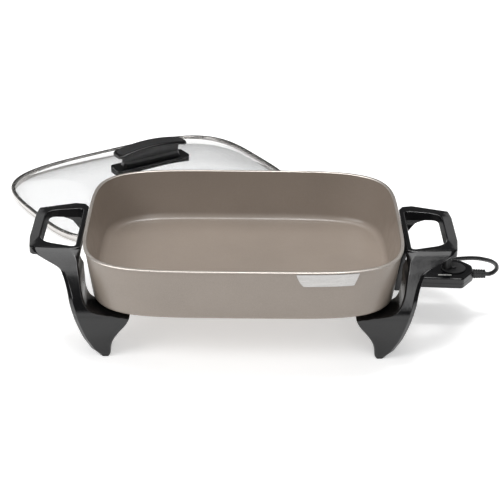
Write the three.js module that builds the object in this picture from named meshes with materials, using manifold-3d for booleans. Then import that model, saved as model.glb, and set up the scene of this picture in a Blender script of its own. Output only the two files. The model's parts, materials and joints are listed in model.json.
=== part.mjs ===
// An electric skillet: a rectangular non-stick pan on two moulded side frames, with a loose domed
// glass cover lying behind it and a plug-in heat control with its cord on the right.
// Millimetres, +Z up, +X towards the heat control, +Y away from the cook.
import * as THREE from "three";
import { mergeVertices } from "three/addons/utils/BufferGeometryUtils.js";
import Module from "manifold-3d";

const wasm = await Module();
wasm.setup();

// Clearances
const seat = 0.3; // left between two pieces that touch
const slip = 0.5; // left round what slides or turns
const overrun = 4; // how far a cutter passes the face that it opens

// Pan
const panHalfLength = 203;
const panHalfDepth = 157;
const panRimHeight = 133;
const panDepth = 71.5;
const panTaper = 9.5; // how far the wall leans in from rim to base
const panSquareness = 4.7; // power of the superellipse that the pan's outline follows
const panWall = 3;
const panFloor = 4;
const panLipDrop = 2.4;
const panLipOverhang = 1.5;
const panLipRound = 1;
const panBaseRadius = 8;
const panInnerRadius = 10;
const panBossRadius = 5.5;

// Name plate, a bare bent trapezoid under the lip
const plateWidth = 78;
const plateShare = 0.315; // where its left end is, from the middle of the pan to the rim's end
const plateHeight = 17.5;
const plateThickness = 1;
const plateDrop = 0.4; // from the lip down to the plate

// Side frames
const frameGap = 4; // from the rim's end out to the frame
const frameReach = 69; // from the frame's inner side out to the grip's outer side
const frameTuck = 66.5; // how far the shelf reaches in under the pan
const frameShelfDrop = 3.5; // from the pan's base down to the shelf
const frameGripDrop = 15; // from the rim down to the grip's top
const frameStance = 133; // half the distance over the legs, front to rear
const frameLoopHalfWidth = 74.5;
const frameLoopThickness = 12;
const frameLoopChamfer = 1.2;
const frameInnerBar = 6.5;
const frameOuterBar = 14;
const frameHoleHalfWidth = 58; // on the pan's side
const frameHoleOuterHalfWidth = 49; // on the grip's side
const frameHoleTaper = 3; // from its top down to its bottom
const frameHoleCorner = 6;
const frameHoleOuterCorner = 15;
const frameBevel = 6; // along the outer front edge of each leg
const frameEdge = 1.5; // along its other edges
const frameSkin = 3; // wall of the hollow feet
const footSole = 8; // solid bottom of each foot
const shelfThickness = 8;
const shelfBevelDrop = 4.8; // at the shelf's inner end, running out towards the arm
const shelfBevelDepth = 15;
const guardHalfWidth = 30;
const guardThickness = 10;
const guardDrop = 17; // from the pan's base down to the guard's lower edge
const guardLean = 5; // how far the guard leans out with the pan's wall

// Screws under the shelves
const legScrewInset = 47; // from the rim's end in to the screw
const legScrewShare = 0.8; // where the screw is, from the middle of the frame to its stance
const legScrewRadius = 2;
const legScrewHeadRadius = 4.5;
const legScrewHeadHeight = 3;

// Heating element, pins and probe sleeve
const elementRadius = 4;
const elementEndMargin = 81; // from the rim's end in to the element
const elementSideMargin = 72;
const elementBend = 28;
const elementInset = 45; // from the rim's end in to the element's terminals
const pinSpacing = 24;
const pinRadius = 2.4;
const pinDrop = 6.5; // from the pan's base down to the pins
const pinReach = 3; // past the rim's end
const insulatorRadius = 3.9;
const insulatorLength = 10;
const bracketInset = 39; // from the rim's end in to the bracket
const bracketThickness = 1.5;
const bracketHalfWidth = 28;
const bracketHeight = 12.7;
const bracketTab = 12.5;
const bracketScrewSide = 22.5;
const bracketScrewRadius = 1.5;
const bracketScrewHeadRadius = 3.4;
const bracketScrewHeadHeight = 1.6;
const probeRadius = 3;
const probeInset = 65; // from the rim's end in to the probe's tip
const sleeveRadius = 4.9;
const sleeveLead = 2; // how far the sleeve starts before the probe
const sleeveLength = 42;

// Heat control
const controlGap = 2.5; // between the frame and the case
const controlLength = 92.5;
const controlHeight = 14.8;
const controlHalfWidth = 30.5; // at the widest place of the head
const controlWall = 2.2;
const controlChamfer = 1.5;
const noseReach = 18; // from the case in to the nose's tip
const noseHalfWidth = 19;
const noseRoom = 3; // round the nose in the guard's opening
const noseFlange = 2; // how far the nose's flange stands out behind the case wall
const socketRadius = 3.6;
const socketInset = 1.5; // from the nose's tip in to the sockets
const socketLength = 23;
const dialInset = 26; // from the cord's end of the case in to the dial's middle
const dialRadius = 16;
const dialHeight = 3.6;
const dialCrown = 0.9;
const dialCrownRadius = 11.5;
const dialPointerHeight = 12; // the raised grip, from the dial's middle out to its edge
const dialPointerHalfWidth = 7;
const dialPointerNose = 0.5; // past the dial's middle
const dialPointerDraft = 1;
const shaftRadius = 3;
const shaftCollarRadius = 5;
const shaftCollarHeight = 1.4;
const lensShare = 0.61; // where the lens is along the case
const lensInset = 7.5; // from the case's widest line in to the lens's middle
const lensHalfLength = 9;
const lensHalfWidth = 1.8;
const lensRise = 0.5;
const thermostatLength = 24;
const thermostatHalfWidth = 12;
const thermostatHeight = 5;
const bladeThickness = 0.8;
const bladeHalfWidth = 3;
const armHalfWidth = 2;
const armOffset = 7;
const armShare = 0.6; // of the blade's length
const lampRadius = 2.4;
const lampLength = 13;
const caseScrewInset = 18.5;
const caseScrewSide = 20;
const caseScrewRadius = 1.3;
const caseScrewHeadRadius = 2.6;
const caseScrewHeadHeight = 1.2;
const caseBossRadius = 3.4;
const reliefLength = 16.2;
const reliefRootHalfWidth = 5.8;
const reliefRootHalfHeight = 5;
const reliefTipHalfWidth = 5.3;
const reliefTipHalfHeight = 4.6;
const reliefNeck = 1.6; // how much narrower the neck in the case wall is
const reliefFlangeHalfWidth = 5.4;
const reliefFlange = 3;

// Cord, coil, tie and plug
const cordRadius = 2.9;
const coilRadius = 28; // of the middle of the turns
const coilPitch = 6.4; // from turn to turn and from layer to layer
const coilInset = 51; // from the rim's end in to the coil's middle
const coilBehind = 64; // from the rim's rear back to the coil's middle
const coilTurns = 3.5;
const plugLead = 14; // the straight end of the coil towards the plug
const tieThickness = 0.5;
const tieWidth = 7;
const plugLength = 30;
const plugHalfWidth = 12;
const plugNeckHalfWidth = 4;
const bladeSpacing = 12.7;
const prongLength = 17;
const prongHeight = 6.4;
const prongThickness = 1.5;
const prongDepth = 6; // how far a prong reaches into the plug

// Cover
const lidInset = 58.5; // from the rim's left end in to the cover's middle
const lidBehind = 225.5; // from the rim's rear back to the cover's middle
const lidTurn = 33.3; // degrees about the vertical
const lidMargin = 2; // how far the cover's outline stands inside the rim's
const lidSquareness = 3.65;
const lidRimHeight = 12.4;
const lidSheet = 0.9; // thickness of the rim's sheet steel
const lidRimCover = 5.5; // how far the rim reaches over the glass
const lidSkirtInset = 4.2;
const lidSkirtHeight = 6.4;
const glassThickness = 3.6;
const glassFlat = 8; // width of the glass's flat edge
const domeRise = 35.5;
const handleHalfLength = 62.5;
const handleHalfWidth = 15;
const handleFootThickness = 2.8;
const handleFootRadius = 5;
const webHalfLength = 50;
const webHalfWidth = 8;
const webWaist = 2;
const webHeight = 16.7;
const capHalfLength = 59;
const capHalfWidth = 14.5;
const capThickness = 5;
const capArch = 7;
const insertThickness = 2;
const insertMargin = 3.5;
const gasketThickness = 1;
const lidScrewX = 38;
const lidScrewRadius = 2;
const lidScrewHeadRadius = 4;
const lidScrewHeadHeight = 2.2;
const lidScrewReach = 16;
const washerPlateHalfLength = 48;
const washerPlateHalfWidth = 8;
const washerPlateThickness = 1.5;

// Steps of the round shapes
const outlineSteps = 64;
const cornerSteps = 4;
const rodSides = 16;
const cordSides = 8;
const cordSteps = 40;
const coilSides = 6;
const coilStepsPerTurn = 24;
const elementSteps = 60;
const dialSides = 40;
const archSteps = 12;

// Leg sections from the floor to the shelf and from the shelf to the grip. Each row gives the height,
// the inner and outer side (below zero a share of the tuck, above it a share of the reach), the front
// and rear face as shares of the stance, and how far the inner side leans out towards its rear.
const footShares = [
  [0, -0.58, -0.42, 0.985, 0.68],
  [0.05, -0.61, -0.36, 0.985, 0.67],
  [0.12, -0.62, -0.28, 0.99, 0.66],
  [0.26, -0.63, -0.19, 0.99, 0.66],
  [0.41, -0.68, -0.11, 0.995, 0.66],
  [0.57, -0.77, -0.05, 1, 0.66],
  [0.78, -0.92, 0.02, 1, 0.66],
  [0.93, -0.985, 0.06, 1, 0.66],
  [0.993, -1, 0.07, 0.995, 0.66],
];
const armShares = [
  [0, -0.6, 0.08, 0.995, 0.66, 0],
  [0.042, -0.39, 0.09, 0.993, 0.66, 0.02],
  [0.093, -0.285, 0.1, 0.988, 0.65, 0.04],
  [0.167, -0.21, 0.12, 0.978, 0.61, 0.05],
  [0.255, -0.16, 0.14, 0.961, 0.55, 0.05],
  [0.393, -0.11, 0.17, 0.914, 0.48, 0.03],
  [0.528, -0.075, 0.22, 0.842, 0.44, 0.01],
  [0.637, -0.045, 0.28, 0.767, 0.43, -0.01],
  [0.725, -0.015, 0.36, 0.698, 0.43, 0],
  [0.775, 0, 0.48, 0.657, 0.43, 0],
  [0.833, 0, 0.65, 0.611, 0.43, 0],
  [0.915, 0, 0.85, 0.553, 0.43, 0],
  [0.975, 0, 0.91, 0.516, 0.43, 0],
];
// The shelf's bevel: where along the frame, and how much of its full drop it has there
const shelfBevelShares = [
  [-1.05, 1.05],
  [-0.8, 0.5],
  [-0.6, 0.04],
];
// Half of the grip's outline in plan: out from the frame's inner side, and sideways
const loopShares = [
  [0, 0.82],
  [0.07, 0.96],
  [0.17, 1],
  [0.49, 0.92],
  [0.86, 0.79],
  [0.96, 0.72],
  [1, 0.41],
];
// Corners of the control's case in plan: along its length, across from its middle as a share of its
// half width, and how round they are as a share of that half width
const caseShares = [
  [0, -0.86, 0.16],
  [0.79, -1, 0.2],
  [1, -0.22, 0.25],
  [1, 0.34, 0.35],
  [0.83, 0.92, 0.45],
  [0, 0.86, 0.16],
];
// The cord's free stretch, from the strain relief to the coil: shares of the way along X, Y and down
const cordShares = [
  [0, 0, 0],
  [-0.032, 0, 0],
  [-0.061, 0.016, -0.002],
  [-0.086, 0.045, 0],
  [-0.105, 0.085, 0.018],
  [-0.116, 0.133, 0.043],
  [-0.119, 0.181, 0.072],
  [-0.113, 0.227, 0.105],
  [-0.1, 0.272, 0.144],
  [-0.08, 0.316, 0.189],
  [-0.054, 0.36, 0.242],
  [-0.019, 0.406, 0.3],
  [0.016, 0.447, 0.365],
  [0.055, 0.485, 0.433],
  [0.095, 0.52, 0.507],
  [0.139, 0.557, 0.589],
  [0.185, 0.595, 0.682],
  [0.235, 0.635, 0.78],
  [0.291, 0.678, 0.867],
  [0.353, 0.723, 0.936],
  [0.428, 0.774, 0.982],
  [0.515, 0.824, 0.998],
  [0.621, 0.893, 1],
  [0.739, 0.958, 1],
  [0.87, 1, 1],
  [1, 1, 1],
];
// Name plate: height from its top, and its left and right end along its top edge
const plateShares = [
  [0, 0, 1],
  [0.45, 0.04, 0.965],
  [0.8, 0.085, 0.935],
  [1, 0.125, 0.915],
];
const plateColumns = 8;
const domeShares = [1, 0.955, 0.9, 0.8, 0.65, 0.45, 0.27, 0.1];

// Heights and places that follow from the sizes above
const panBase = panRimHeight - panDepth;
const panLipBottom = panRimHeight - panLipDrop;
const panFloorTop = panBase + panFloor;
const frameInner = panHalfLength + frameGap;
const frameShelfHeight = panBase - frameShelfDrop;
const frameTop = panRimHeight - frameGripDrop;
const loopBottom = frameTop - frameLoopThickness;
const guardBottom = panBase - guardDrop;
const legScrewX = panHalfLength - legScrewInset;
const legScrewSide = frameStance * legScrewShare;
const shelfBottom = frameShelfHeight - shelfThickness;
const elementHeight = panBase - seat - elementRadius;
const elementEnd = panHalfLength - elementInset;
const pinSide = pinSpacing / 2;
const pinHeight = panBase - pinDrop;
const pinEnd = panHalfLength + pinReach;
const bracketFace = panHalfLength - bracketInset;
const bracketTop = panBase - seat;
const probeHeight = panBase - seat - sleeveRadius;
const probeTip = panHalfLength - probeInset;
const controlInner = frameInner + controlGap;
const controlOuter = controlInner + controlLength;
const controlBottom = pinHeight - controlHeight / 2;
const controlTop = pinHeight + controlHeight / 2;
const caseFloor = controlBottom + controlWall;
const caseCeiling = controlTop - controlWall;
const caseScrewX = controlInner + caseScrewInset;
const noseTip = controlInner - noseReach;
const noseBottom = caseFloor + seat;
const noseTop = caseCeiling - seat;
const socketStart = noseTip + socketInset;
const socketEnd = socketStart + socketLength;
const dialX = controlOuter - dialInset;
const lensX = controlInner + controlLength * lensShare;
const lensY = lensInset - controlHalfWidth;
const bladeHeight = noseBottom + thermostatHeight + seat;
const reliefEnd = controlOuter + seat + reliefLength;
const coilX = panHalfLength - coilInset;
const coilY = panHalfDepth + coilBehind;
const coilLow = tieThickness + seat + cordRadius;
const coilHigh = coilLow + coilPitch;
const coilOuter = coilRadius + (coilPitch * coilTurns) / 4;
const lidHalfLength = panHalfLength - lidMargin;
const lidHalfDepth = panHalfDepth - lidMargin;
const domeTop = lidRimHeight - lidSheet - seat + domeRise;
const handleFootBottom = domeTop + gasketThickness + seat;
const handleFootTop = handleFootBottom + handleFootThickness;
const webTop = handleFootTop + webHeight;
const backingTop = domeHeight(webHalfLength / lidHalfLength) - glassThickness - 2 * seat;

const colours = {
  taupe: [0x968b80, 0.45, 0.35],
  lip: [0xd9cfc4, 0.35, 0.6],
  black: [0x17181a, 0.25, 0],
  blackSatin: [0x232426, 0.55, 0],
  steel: [0xb8b6b2, 0.3, 1],
  brightSteel: [0xd2d2d0, 0.2, 1],
  brass: [0xb08d57, 0.35, 1],
  ceramic: [0xe6e0d4, 0.6, 0],
  aluminium: [0xa9a9a6, 0.45, 1],
  glass: [0xdfe8e6, 0.05, 0],
  silicone: [0x2b2b2b, 0.8, 0],
  lens: [0xd8d8d2, 0.15, 0],
  lamp: [0xe8a070, 0.2, 0],
};

const part = new THREE.Group();
const lid = new THREE.Group();
lid.position.set(lidInset - panHalfLength, panHalfDepth + lidBehind, 0);
lid.rotation.z = THREE.MathUtils.degToRad(lidTurn);
part.add(lid);

// Shape helpers

// Turns a closed geometry into a manifold solid.
function solid(geometry) {
  const bare = geometry.clone();
  bare.deleteAttribute("normal");
  bare.deleteAttribute("uv");
  const merged = mergeVertices(bare);
  const vertProperties = new Float32Array(merged.attributes.position.array);
  const triVerts = new Uint32Array(merged.index.array);
  return new wasm.Manifold(new wasm.Mesh({ numProp: 3, vertProperties, triVerts }));
}

// Turns a manifold solid back into a geometry.
function geometryOf(made) {
  const mesh = made.getMesh();
  const geometry = new THREE.BufferGeometry();
  geometry.setAttribute("position", new THREE.BufferAttribute(mesh.vertProperties, 3));
  geometry.setIndex(new THREE.BufferAttribute(mesh.triVerts, 1));
  geometry.computeVertexNormals();
  return geometry;
}

function addMesh(parent, name, geometry, [color, roughness, metalness]) {
  const material = new THREE.MeshStandardMaterial({ color, roughness, metalness });
  const mesh = new THREE.Mesh(geometry, material);
  mesh.name = name;
  parent.add(mesh);
  return mesh;
}

// Makes a geometry from points and triangles, with its faces turned to point out.
function closedGeometry(points, triangles) {
  const volume = triangles.reduce((sum, [a, b, c]) => {
    const cross = new THREE.Vector3().crossVectors(points[b], points[c]);
    return sum + points[a].dot(cross);
  }, 0);
  const outward = volume < 0 ? triangles.map(([a, b, c]) => [a, c, b]) : triangles;
  const geometry = new THREE.BufferGeometry().setFromPoints(points);
  geometry.setIndex(outward.flat());
  geometry.computeVertexNormals();
  return geometry;
}

// The two triangles of each quad between two rows of point numbers.
function strip(lower, upper, closed) {
  const triangles = [];
  const last = closed ? lower.length : lower.length - 1;
  for (let i = 0; i < last; i++) {
    const next = (i + 1) % lower.length;
    triangles.push([lower[i], lower[next], upper[next]], [lower[i], upper[next], upper[i]]);
  }
  return triangles;
}

// A solid through rings of as many points each, closed by a fan at its first and last ring.
function loft(rings) {
  const points = rings.flat().map((point) => point.clone());
  const size = rings[0].length;
  const rows = rings.map((_, r) => Array.from({ length: size }, (_, i) => r * size + i));
  const triangles = [];
  for (let r = 0; r + 1 < rows.length; r++) triangles.push(...strip(rows[r], rows[r + 1], true));
  for (const [row, turned] of [[rows[0], true], [rows.at(-1), false]]) {
    const middle = new THREE.Vector3();
    row.forEach((index) => middle.add(points[index]));
    points.push(middle.divideScalar(size));
    row.forEach((index, i) => {
      const next = row[(i + 1) % size];
      triangles.push(turned ? [points.length - 1, next, index] : [points.length - 1, index, next]);
    });
  }
  return closedGeometry(points, triangles);
}

// A closed band: a section swept round an outline and joined to its own start.
function band(rings) {
  const size = rings[0].length;
  const rows = rings.map((_, r) => Array.from({ length: size }, (_, i) => r * size + i));
  const triangles = rows.flatMap((row, r) => strip(row, rows[(r + 1) % rows.length], true));
  return closedGeometry(rings.flat(), triangles);
}

// Points of a plan outline raised to a height.
function ringAt(outline, z) {
  return outline.map(([x, y]) => new THREE.Vector3(x, y, z));
}

// Points of an outline in Y and Z, set at a place along X.
function ringAcross(outline, x) {
  return outline.map(([y, z]) => new THREE.Vector3(x, y, z));
}

function superellipse(halfX, halfY, power) {
  return Array.from({ length: outlineSteps }, (_, i) => {
    const angle = (i / outlineSteps) * 2 * Math.PI;
    const [c, s] = [Math.cos(angle), Math.sin(angle)];
    return [
      halfX * Math.sign(c) * Math.abs(c) ** (2 / power),
      halfY * Math.sign(s) * Math.abs(s) ** (2 / power),
    ];
  });
}

// A rectangle from low to high with its corners rounded.
function roundedRectangle([lowX, lowY], [highX, highY], radius, steps = cornerSteps) {
  const round = Math.min(radius, (highX - lowX) / 2, (highY - lowY) / 2);
  const corners = [
    [highX - round, highY - round],
    [lowX + round, highY - round],
    [lowX + round, lowY + round],
    [highX - round, lowY + round],
  ];
  return corners.flatMap(([x, y], quarter) =>
    Array.from({ length: steps + 1 }, (_, i) => {
      const angle = (quarter + i / steps) * (Math.PI / 2);
      return [x + round * Math.cos(angle), y + round * Math.sin(angle)];
    }),
  );
}

// A rectangle centred on a point.
function centredRectangle([x, y], [halfX, halfY], radius, steps) {
  return roundedRectangle([x - halfX, y - halfY], [x + halfX, y + halfY], radius, steps);
}

function box([lowX, lowY, lowZ], [highX, highY, highZ]) {
  const geometry = new THREE.BoxGeometry(highX - lowX, highY - lowY, highZ - lowZ);
  return geometry.translate((lowX + highX) / 2, (lowY + highY) / 2, (lowZ + highZ) / 2);
}

function rodZ([x, y], low, high, radius, sides = rodSides) {
  const geometry = new THREE.CylinderGeometry(radius, radius, high - low, sides);
  return geometry.rotateX(Math.PI / 2).translate(x, y, (low + high) / 2);
}

function rodX([y, z], low, high, radius, sides = rodSides) {
  const geometry = new THREE.CylinderGeometry(radius, radius, high - low, sides);
  return geometry.rotateZ(-Math.PI / 2).translate((low + high) / 2, y, z);
}

function joined(...geometries) {
  return geometries.map(solid).reduce((sum, made) => sum.add(made));
}

function cut(made, ...geometries) {
  return geometries.map(solid).reduce((rest, cutter) => rest.subtract(cutter), made);
}

function quarterTurn(steps) {
  return Array.from({ length: steps + 1 }, (_, i) => (i / steps) * (Math.PI / 2));
}

// Pan

// How far the outer wall stands inside the rim's outline at a height.
function wallInset(z) {
  return THREE.MathUtils.mapLinear(
    z,
    panLipBottom,
    panBase + panBaseRadius,
    panLipOverhang,
    panTaper,
  );
}

function panRing(inset, z) {
  return ringAt(superellipse(panHalfLength - inset, panHalfDepth - inset, panSquareness), z);
}

function makePan() {
  const arc = quarterTurn(3);
  const innerTaper = panTaper + panWall;
  const lipInner = panLipOverhang + panWall;
  const profile = [
    ...arc.toReversed().map((a) => [
      panTaper + panBaseRadius * (1 - Math.cos(a)),
      panBase + panBaseRadius * (1 - Math.sin(a)),
    ]),
    [panLipOverhang, panLipBottom],
    [0, panLipBottom],
    [0, panRimHeight - panLipRound],
    [panLipRound, panRimHeight],
    [lipInner - panLipRound, panRimHeight],
    [lipInner, panRimHeight - panLipRound],
    ...arc.map((a) => [
      innerTaper + panInnerRadius * (1 - Math.cos(a)),
      panFloorTop + panInnerRadius * (1 - Math.sin(a)),
    ]),
  ];
  let made = solid(loft(profile.map(([inset, z]) => panRing(inset, z))));
  const bossBottom = frameShelfHeight + seat;
  const screwTop = panFloorTop - panFloor / 3;
  for (const x of [-legScrewX, legScrewX])
    for (const y of [-legScrewSide, legScrewSide]) {
      made = made.add(solid(rodZ([x, y], bossBottom, panBase + panFloor / 2, panBossRadius)));
      made = cut(made, rodZ([x, y], bossBottom - overrun, screwTop, legScrewRadius + seat));
    }
  const tabScrewX = bracketFace + bracketThickness + bracketTab / 2;
  for (const y of [-bracketScrewSide, bracketScrewSide])
    made = cut(made, rodZ([tabScrewX, y], panBase - overrun, screwTop, bracketScrewRadius + seat));
  addMesh(part, "pan", geometryOf(made), colours.taupe);
}

// The outer wall's front face at a place along X and a height.
function frontWall(x, z) {
  const inset = wallInset(z);
  const share = Math.abs(x / (panHalfLength - inset)) ** panSquareness;
  return -(panHalfDepth - inset) * (1 - share) ** (1 / panSquareness);
}

function makeNamePlate() {
  const top = panLipBottom - plateDrop;
  const start = panHalfLength * plateShare;
  const pointAt = (along, [drop, left, right], offset) => {
    const x = start + plateWidth * THREE.MathUtils.lerp(left, right, along);
    const z = top - drop * plateHeight;
    return new THREE.Vector3(x, frontWall(x, z) - offset, z);
  };
  const rings = Array.from({ length: plateColumns + 1 }, (_, i) => {
    const along = i / plateColumns;
    const back = plateShares.map((row) => pointAt(along, row, seat));
    const front = plateShares.map((row) => pointAt(along, row, seat + plateThickness));
    return [...back, ...front.toReversed()];
  });
  addMesh(part, "name_plate", loft(rings), colours.brightSteel);
}

// Heating element and its terminals

// A path through corner points, each corner rounded by a bend.
function roundedPath(corners, bend) {
  const path = new THREE.CurvePath();
  let from = corners[0];
  for (let i = 1; i + 1 < corners.length; i++) {
    const before = corners[i].clone().add(
      corners[i - 1].clone().sub(corners[i]).setLength(bend),
    );
    const after = corners[i].clone().add(
      corners[i + 1].clone().sub(corners[i]).setLength(bend),
    );
    path.add(new THREE.LineCurve3(from, before));
    path.add(new THREE.QuadraticBezierCurve3(before, corners[i], after));
    from = after;
  }
  path.add(new THREE.LineCurve3(from, corners.at(-1)));
  return path;
}

// A round bar along a path, square at both ends.
function barAlong(path, radius, sides, steps) {
  const section = new THREE.Shape(
    Array.from({ length: sides }, (_, i) => {
      const angle = (i / sides) * 2 * Math.PI;
      return new THREE.Vector2(radius * Math.cos(angle), radius * Math.sin(angle));
    }),
  );
  return new THREE.ExtrudeGeometry(section, { steps, extrudePath: path, bevelEnabled: false });
}

function makeElement() {
  const halfLength = panHalfLength - elementEndMargin;
  const halfDepth = panHalfDepth - elementSideMargin;
  const sideways = [-pinSide, -halfDepth, -halfDepth];
  const along = [halfLength, halfLength, -halfLength];
  const half = along.map((x, i) => new THREE.Vector3(x, sideways[i], elementHeight));
  const mirrored = half.toReversed().map((p) => new THREE.Vector3(p.x, -p.y, p.z));
  const ends = [-pinSide, pinSide].map((y) => new THREE.Vector3(elementEnd, y, pinHeight));
  const path = roundedPath([ends[0], ...half, ...mirrored, ends[1]], elementBend);
  const bar = barAlong(path, elementRadius, cordSides, elementSteps);
  addMesh(part, "heating_element", bar, colours.steel);
}

function makeTerminals() {
  const insulatorStart = bracketFace + bracketThickness / 2 - insulatorLength / 2;
  const sides = { front: -pinSide, rear: pinSide };
  for (const [place, y] of Object.entries(sides)) {
    const centre = [y, pinHeight];
    const pin = rodX(centre, elementEnd + seat, pinEnd, pinRadius);
    addMesh(part, `terminal_pin_${place}`, pin, colours.brightSteel);
    const insulator = cut(
      solid(rodX(centre, insulatorStart, insulatorStart + insulatorLength, insulatorRadius)),
      rodX(centre, insulatorStart - overrun, pinEnd, pinRadius + seat),
    );
    addMesh(part, `terminal_insulator_${place}`, geometryOf(insulator), colours.ceramic);
  }
}

function makeBracket() {
  const back = bracketFace + bracketThickness;
  const tabEnd = back + bracketTab;
  const tabInner = pinSide + insulatorRadius + slip;
  let made = solid(
    box(
      [bracketFace, -bracketHalfWidth, bracketTop - bracketHeight],
      [back, bracketHalfWidth, bracketTop],
    ),
  );
  const openings = [
    [-pinSide, pinHeight, insulatorRadius + seat],
    [0, probeHeight, sleeveRadius + seat],
    [pinSide, pinHeight, insulatorRadius + seat],
  ];
  for (const [y, z, radius] of openings)
    made = cut(
      made,
      rodX([y, z], bracketFace - overrun, back + overrun, radius),
      box([bracketFace - overrun, y - radius, z], [back + overrun, y + radius, z + overrun * 2]),
    );
  const screwX = back + bracketTab / 2;
  for (const [place, side] of [["front", -1], ["rear", 1]]) {
    const [near, far] = [side * tabInner, side * bracketHalfWidth];
    const [low, high] = [Math.min(near, far), Math.max(near, far)];
    const y = side * bracketScrewSide;
    made = made.add(
      solid(box([bracketFace, low, bracketTop - bracketThickness], [tabEnd, high, bracketTop])),
    );
    made = cut(
      made,
      rodZ([screwX, y], bracketTop - overrun, bracketTop + overrun, bracketScrewRadius + seat),
    );
    const headTop = bracketTop - bracketThickness - seat;
    const screw = joined(
      rodZ([screwX, y], headTop - bracketScrewHeadHeight, headTop, bracketScrewHeadRadius),
      rodZ([screwX, y], headTop - bracketScrewHeadHeight / 2, panBase + panFloor / 2, bracketScrewRadius),
    );
    addMesh(part, `bracket_screw_${place}`, geometryOf(screw), colours.steel);
  }
  addMesh(part, "terminal_bracket", geometryOf(made), colours.steel);
  const sleeveStart = probeTip - sleeveLead;
  const sleeve = cut(
    solid(rodX([0, probeHeight], sleeveStart, sleeveStart + sleeveLength, sleeveRadius)),
    rodX([0, probeHeight], sleeveStart - overrun, pinEnd, probeRadius + slip),
  );
  addMesh(part, "probe_sleeve", geometryOf(sleeve), colours.aluminium);
}

// Side frames

// Where a share across the frame lies: under the pan below zero, out along the grip above it.
function frameX(share) {
  return frameInner + share * (share < 0 ? frameTuck : frameReach);
}

function legSections() {
  const armRise = frameTop - frameShelfHeight;
  const feet = footShares.map(([up, ...rest]) => [up * frameShelfHeight, ...rest]);
  const arms = armShares.map(([up, ...rest]) => [frameShelfHeight + up * armRise, ...rest]);
  return [...feet, ...arms].map(([z, inner, outer, front, rear, lean = 0]) => ({
    z,
    inner: frameX(inner),
    outer: frameX(outer),
    front: front * frameStance,
    rear: rear * frameStance,
    lean: lean * frameReach,
  }));
}

// A leg's section: a rectangle whose outer front corner has the wide bevel.
function legRing({ z, inner, outer, front, rear, lean }) {
  const width = outer - inner;
  const bevel = Math.min(frameBevel, width / 3);
  const edge = Math.min(frameEdge, width / 6);
  return ringAt(
    [
      [inner + edge, front],
      [outer - bevel, front],
      [outer, front - bevel],
      [outer, rear + edge],
      [outer - edge, rear],
      [inner + edge + lean, rear],
      [inner + lean, rear + edge],
      [inner, front - edge],
    ],
    z,
  );
}

// What the shelf's bevel takes off: a wedge along its outer top edge that deepens inwards.
function shelfBevel() {
  const front = frameStance + overrun;
  const rear = frameStance - shelfBevelDepth;
  const slope = shelfBevelDrop / shelfBevelDepth;
  const ring = (share, depth) =>
    ringAcross(
      [
        [rear, frameShelfHeight],
        [front, frameShelfHeight - slope * (front - rear) * depth],
        [front, frameShelfHeight + overrun],
        [rear, frameShelfHeight + overrun],
      ],
      frameX(share),
    );
  return loft(shelfBevelShares.map(([share, depth]) => ring(share, depth)));
}

// The hollow of a foot between its sole and its shelf, open towards the middle of the frame.
function footHollow(sections) {
  const rings = sections.slice(0, footShares.length).map(({ z, inner, outer, front, rear }) => {
    const low = [inner + frameSkin, rear - overrun];
    const high = [outer - frameSkin, front - frameSkin];
    return ringAt(roundedRectangle(low, high, frameSkin, 1), z);
  });
  const reach = box(
    [frameX(-1), 0, footSole],
    [frameInner + frameReach, frameStance, shelfBottom],
  );
  return solid(loft(rings)).intersect(solid(reach));
}

function loopRing(inset, z) {
  const half = loopShares.map(([out, side]) => {
    const x = frameX(out);
    const y = side * frameLoopHalfWidth;
    const fromMiddle = 2 * out - 1;
    return [x - inset * fromMiddle, y - inset * side];
  });
  return ringAt([...half, ...half.toReversed().map(([x, y]) => [x, -y])], z);
}

function loopHole() {
  const inner = frameInner + frameInnerBar;
  const outer = frameInner + frameReach - frameOuterBar;
  const ring = (taper, z) => {
    const [wide, narrow] = [frameHoleHalfWidth - taper, frameHoleOuterHalfWidth - taper];
    const corners = [
      [inner + taper / 2, -wide, frameHoleCorner],
      [outer - taper, -narrow, frameHoleOuterCorner],
      [outer - taper, narrow, frameHoleOuterCorner],
      [inner + taper / 2, wide, frameHoleCorner],
    ];
    return ringAt(roundedOutline(corners, cornerSteps), z);
  };
  return loft([
    ring(frameHoleTaper, loopBottom - frameLoopThickness),
    ring(frameHoleTaper, loopBottom),
    ring(0, frameTop),
    ring(0, frameTop + overrun),
  ]);
}

// The wall that hangs between the legs on the control's side and shields the terminals.
function guardWall() {
  const inner = frameInner - guardThickness;
  const ring = (lean, z) =>
    ringAt(
      centredRectangle(
        [inner + guardThickness / 2 + lean, 0],
        [guardThickness / 2, guardHalfWidth],
        frameEdge,
        1,
      ),
      z,
    );
  return loft([
    ring(0, guardBottom),
    ring(0, panBase),
    ring(guardLean, loopBottom + frameLoopThickness / 2),
  ]);
}

function noseOpening() {
  return box(
    [frameInner - guardThickness - overrun, -noseHalfWidth - noseRoom, noseBottom - noseRoom],
    [frameInner + guardLean + overrun, noseHalfWidth + noseRoom, noseTop + noseRoom],
  );
}

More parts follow.
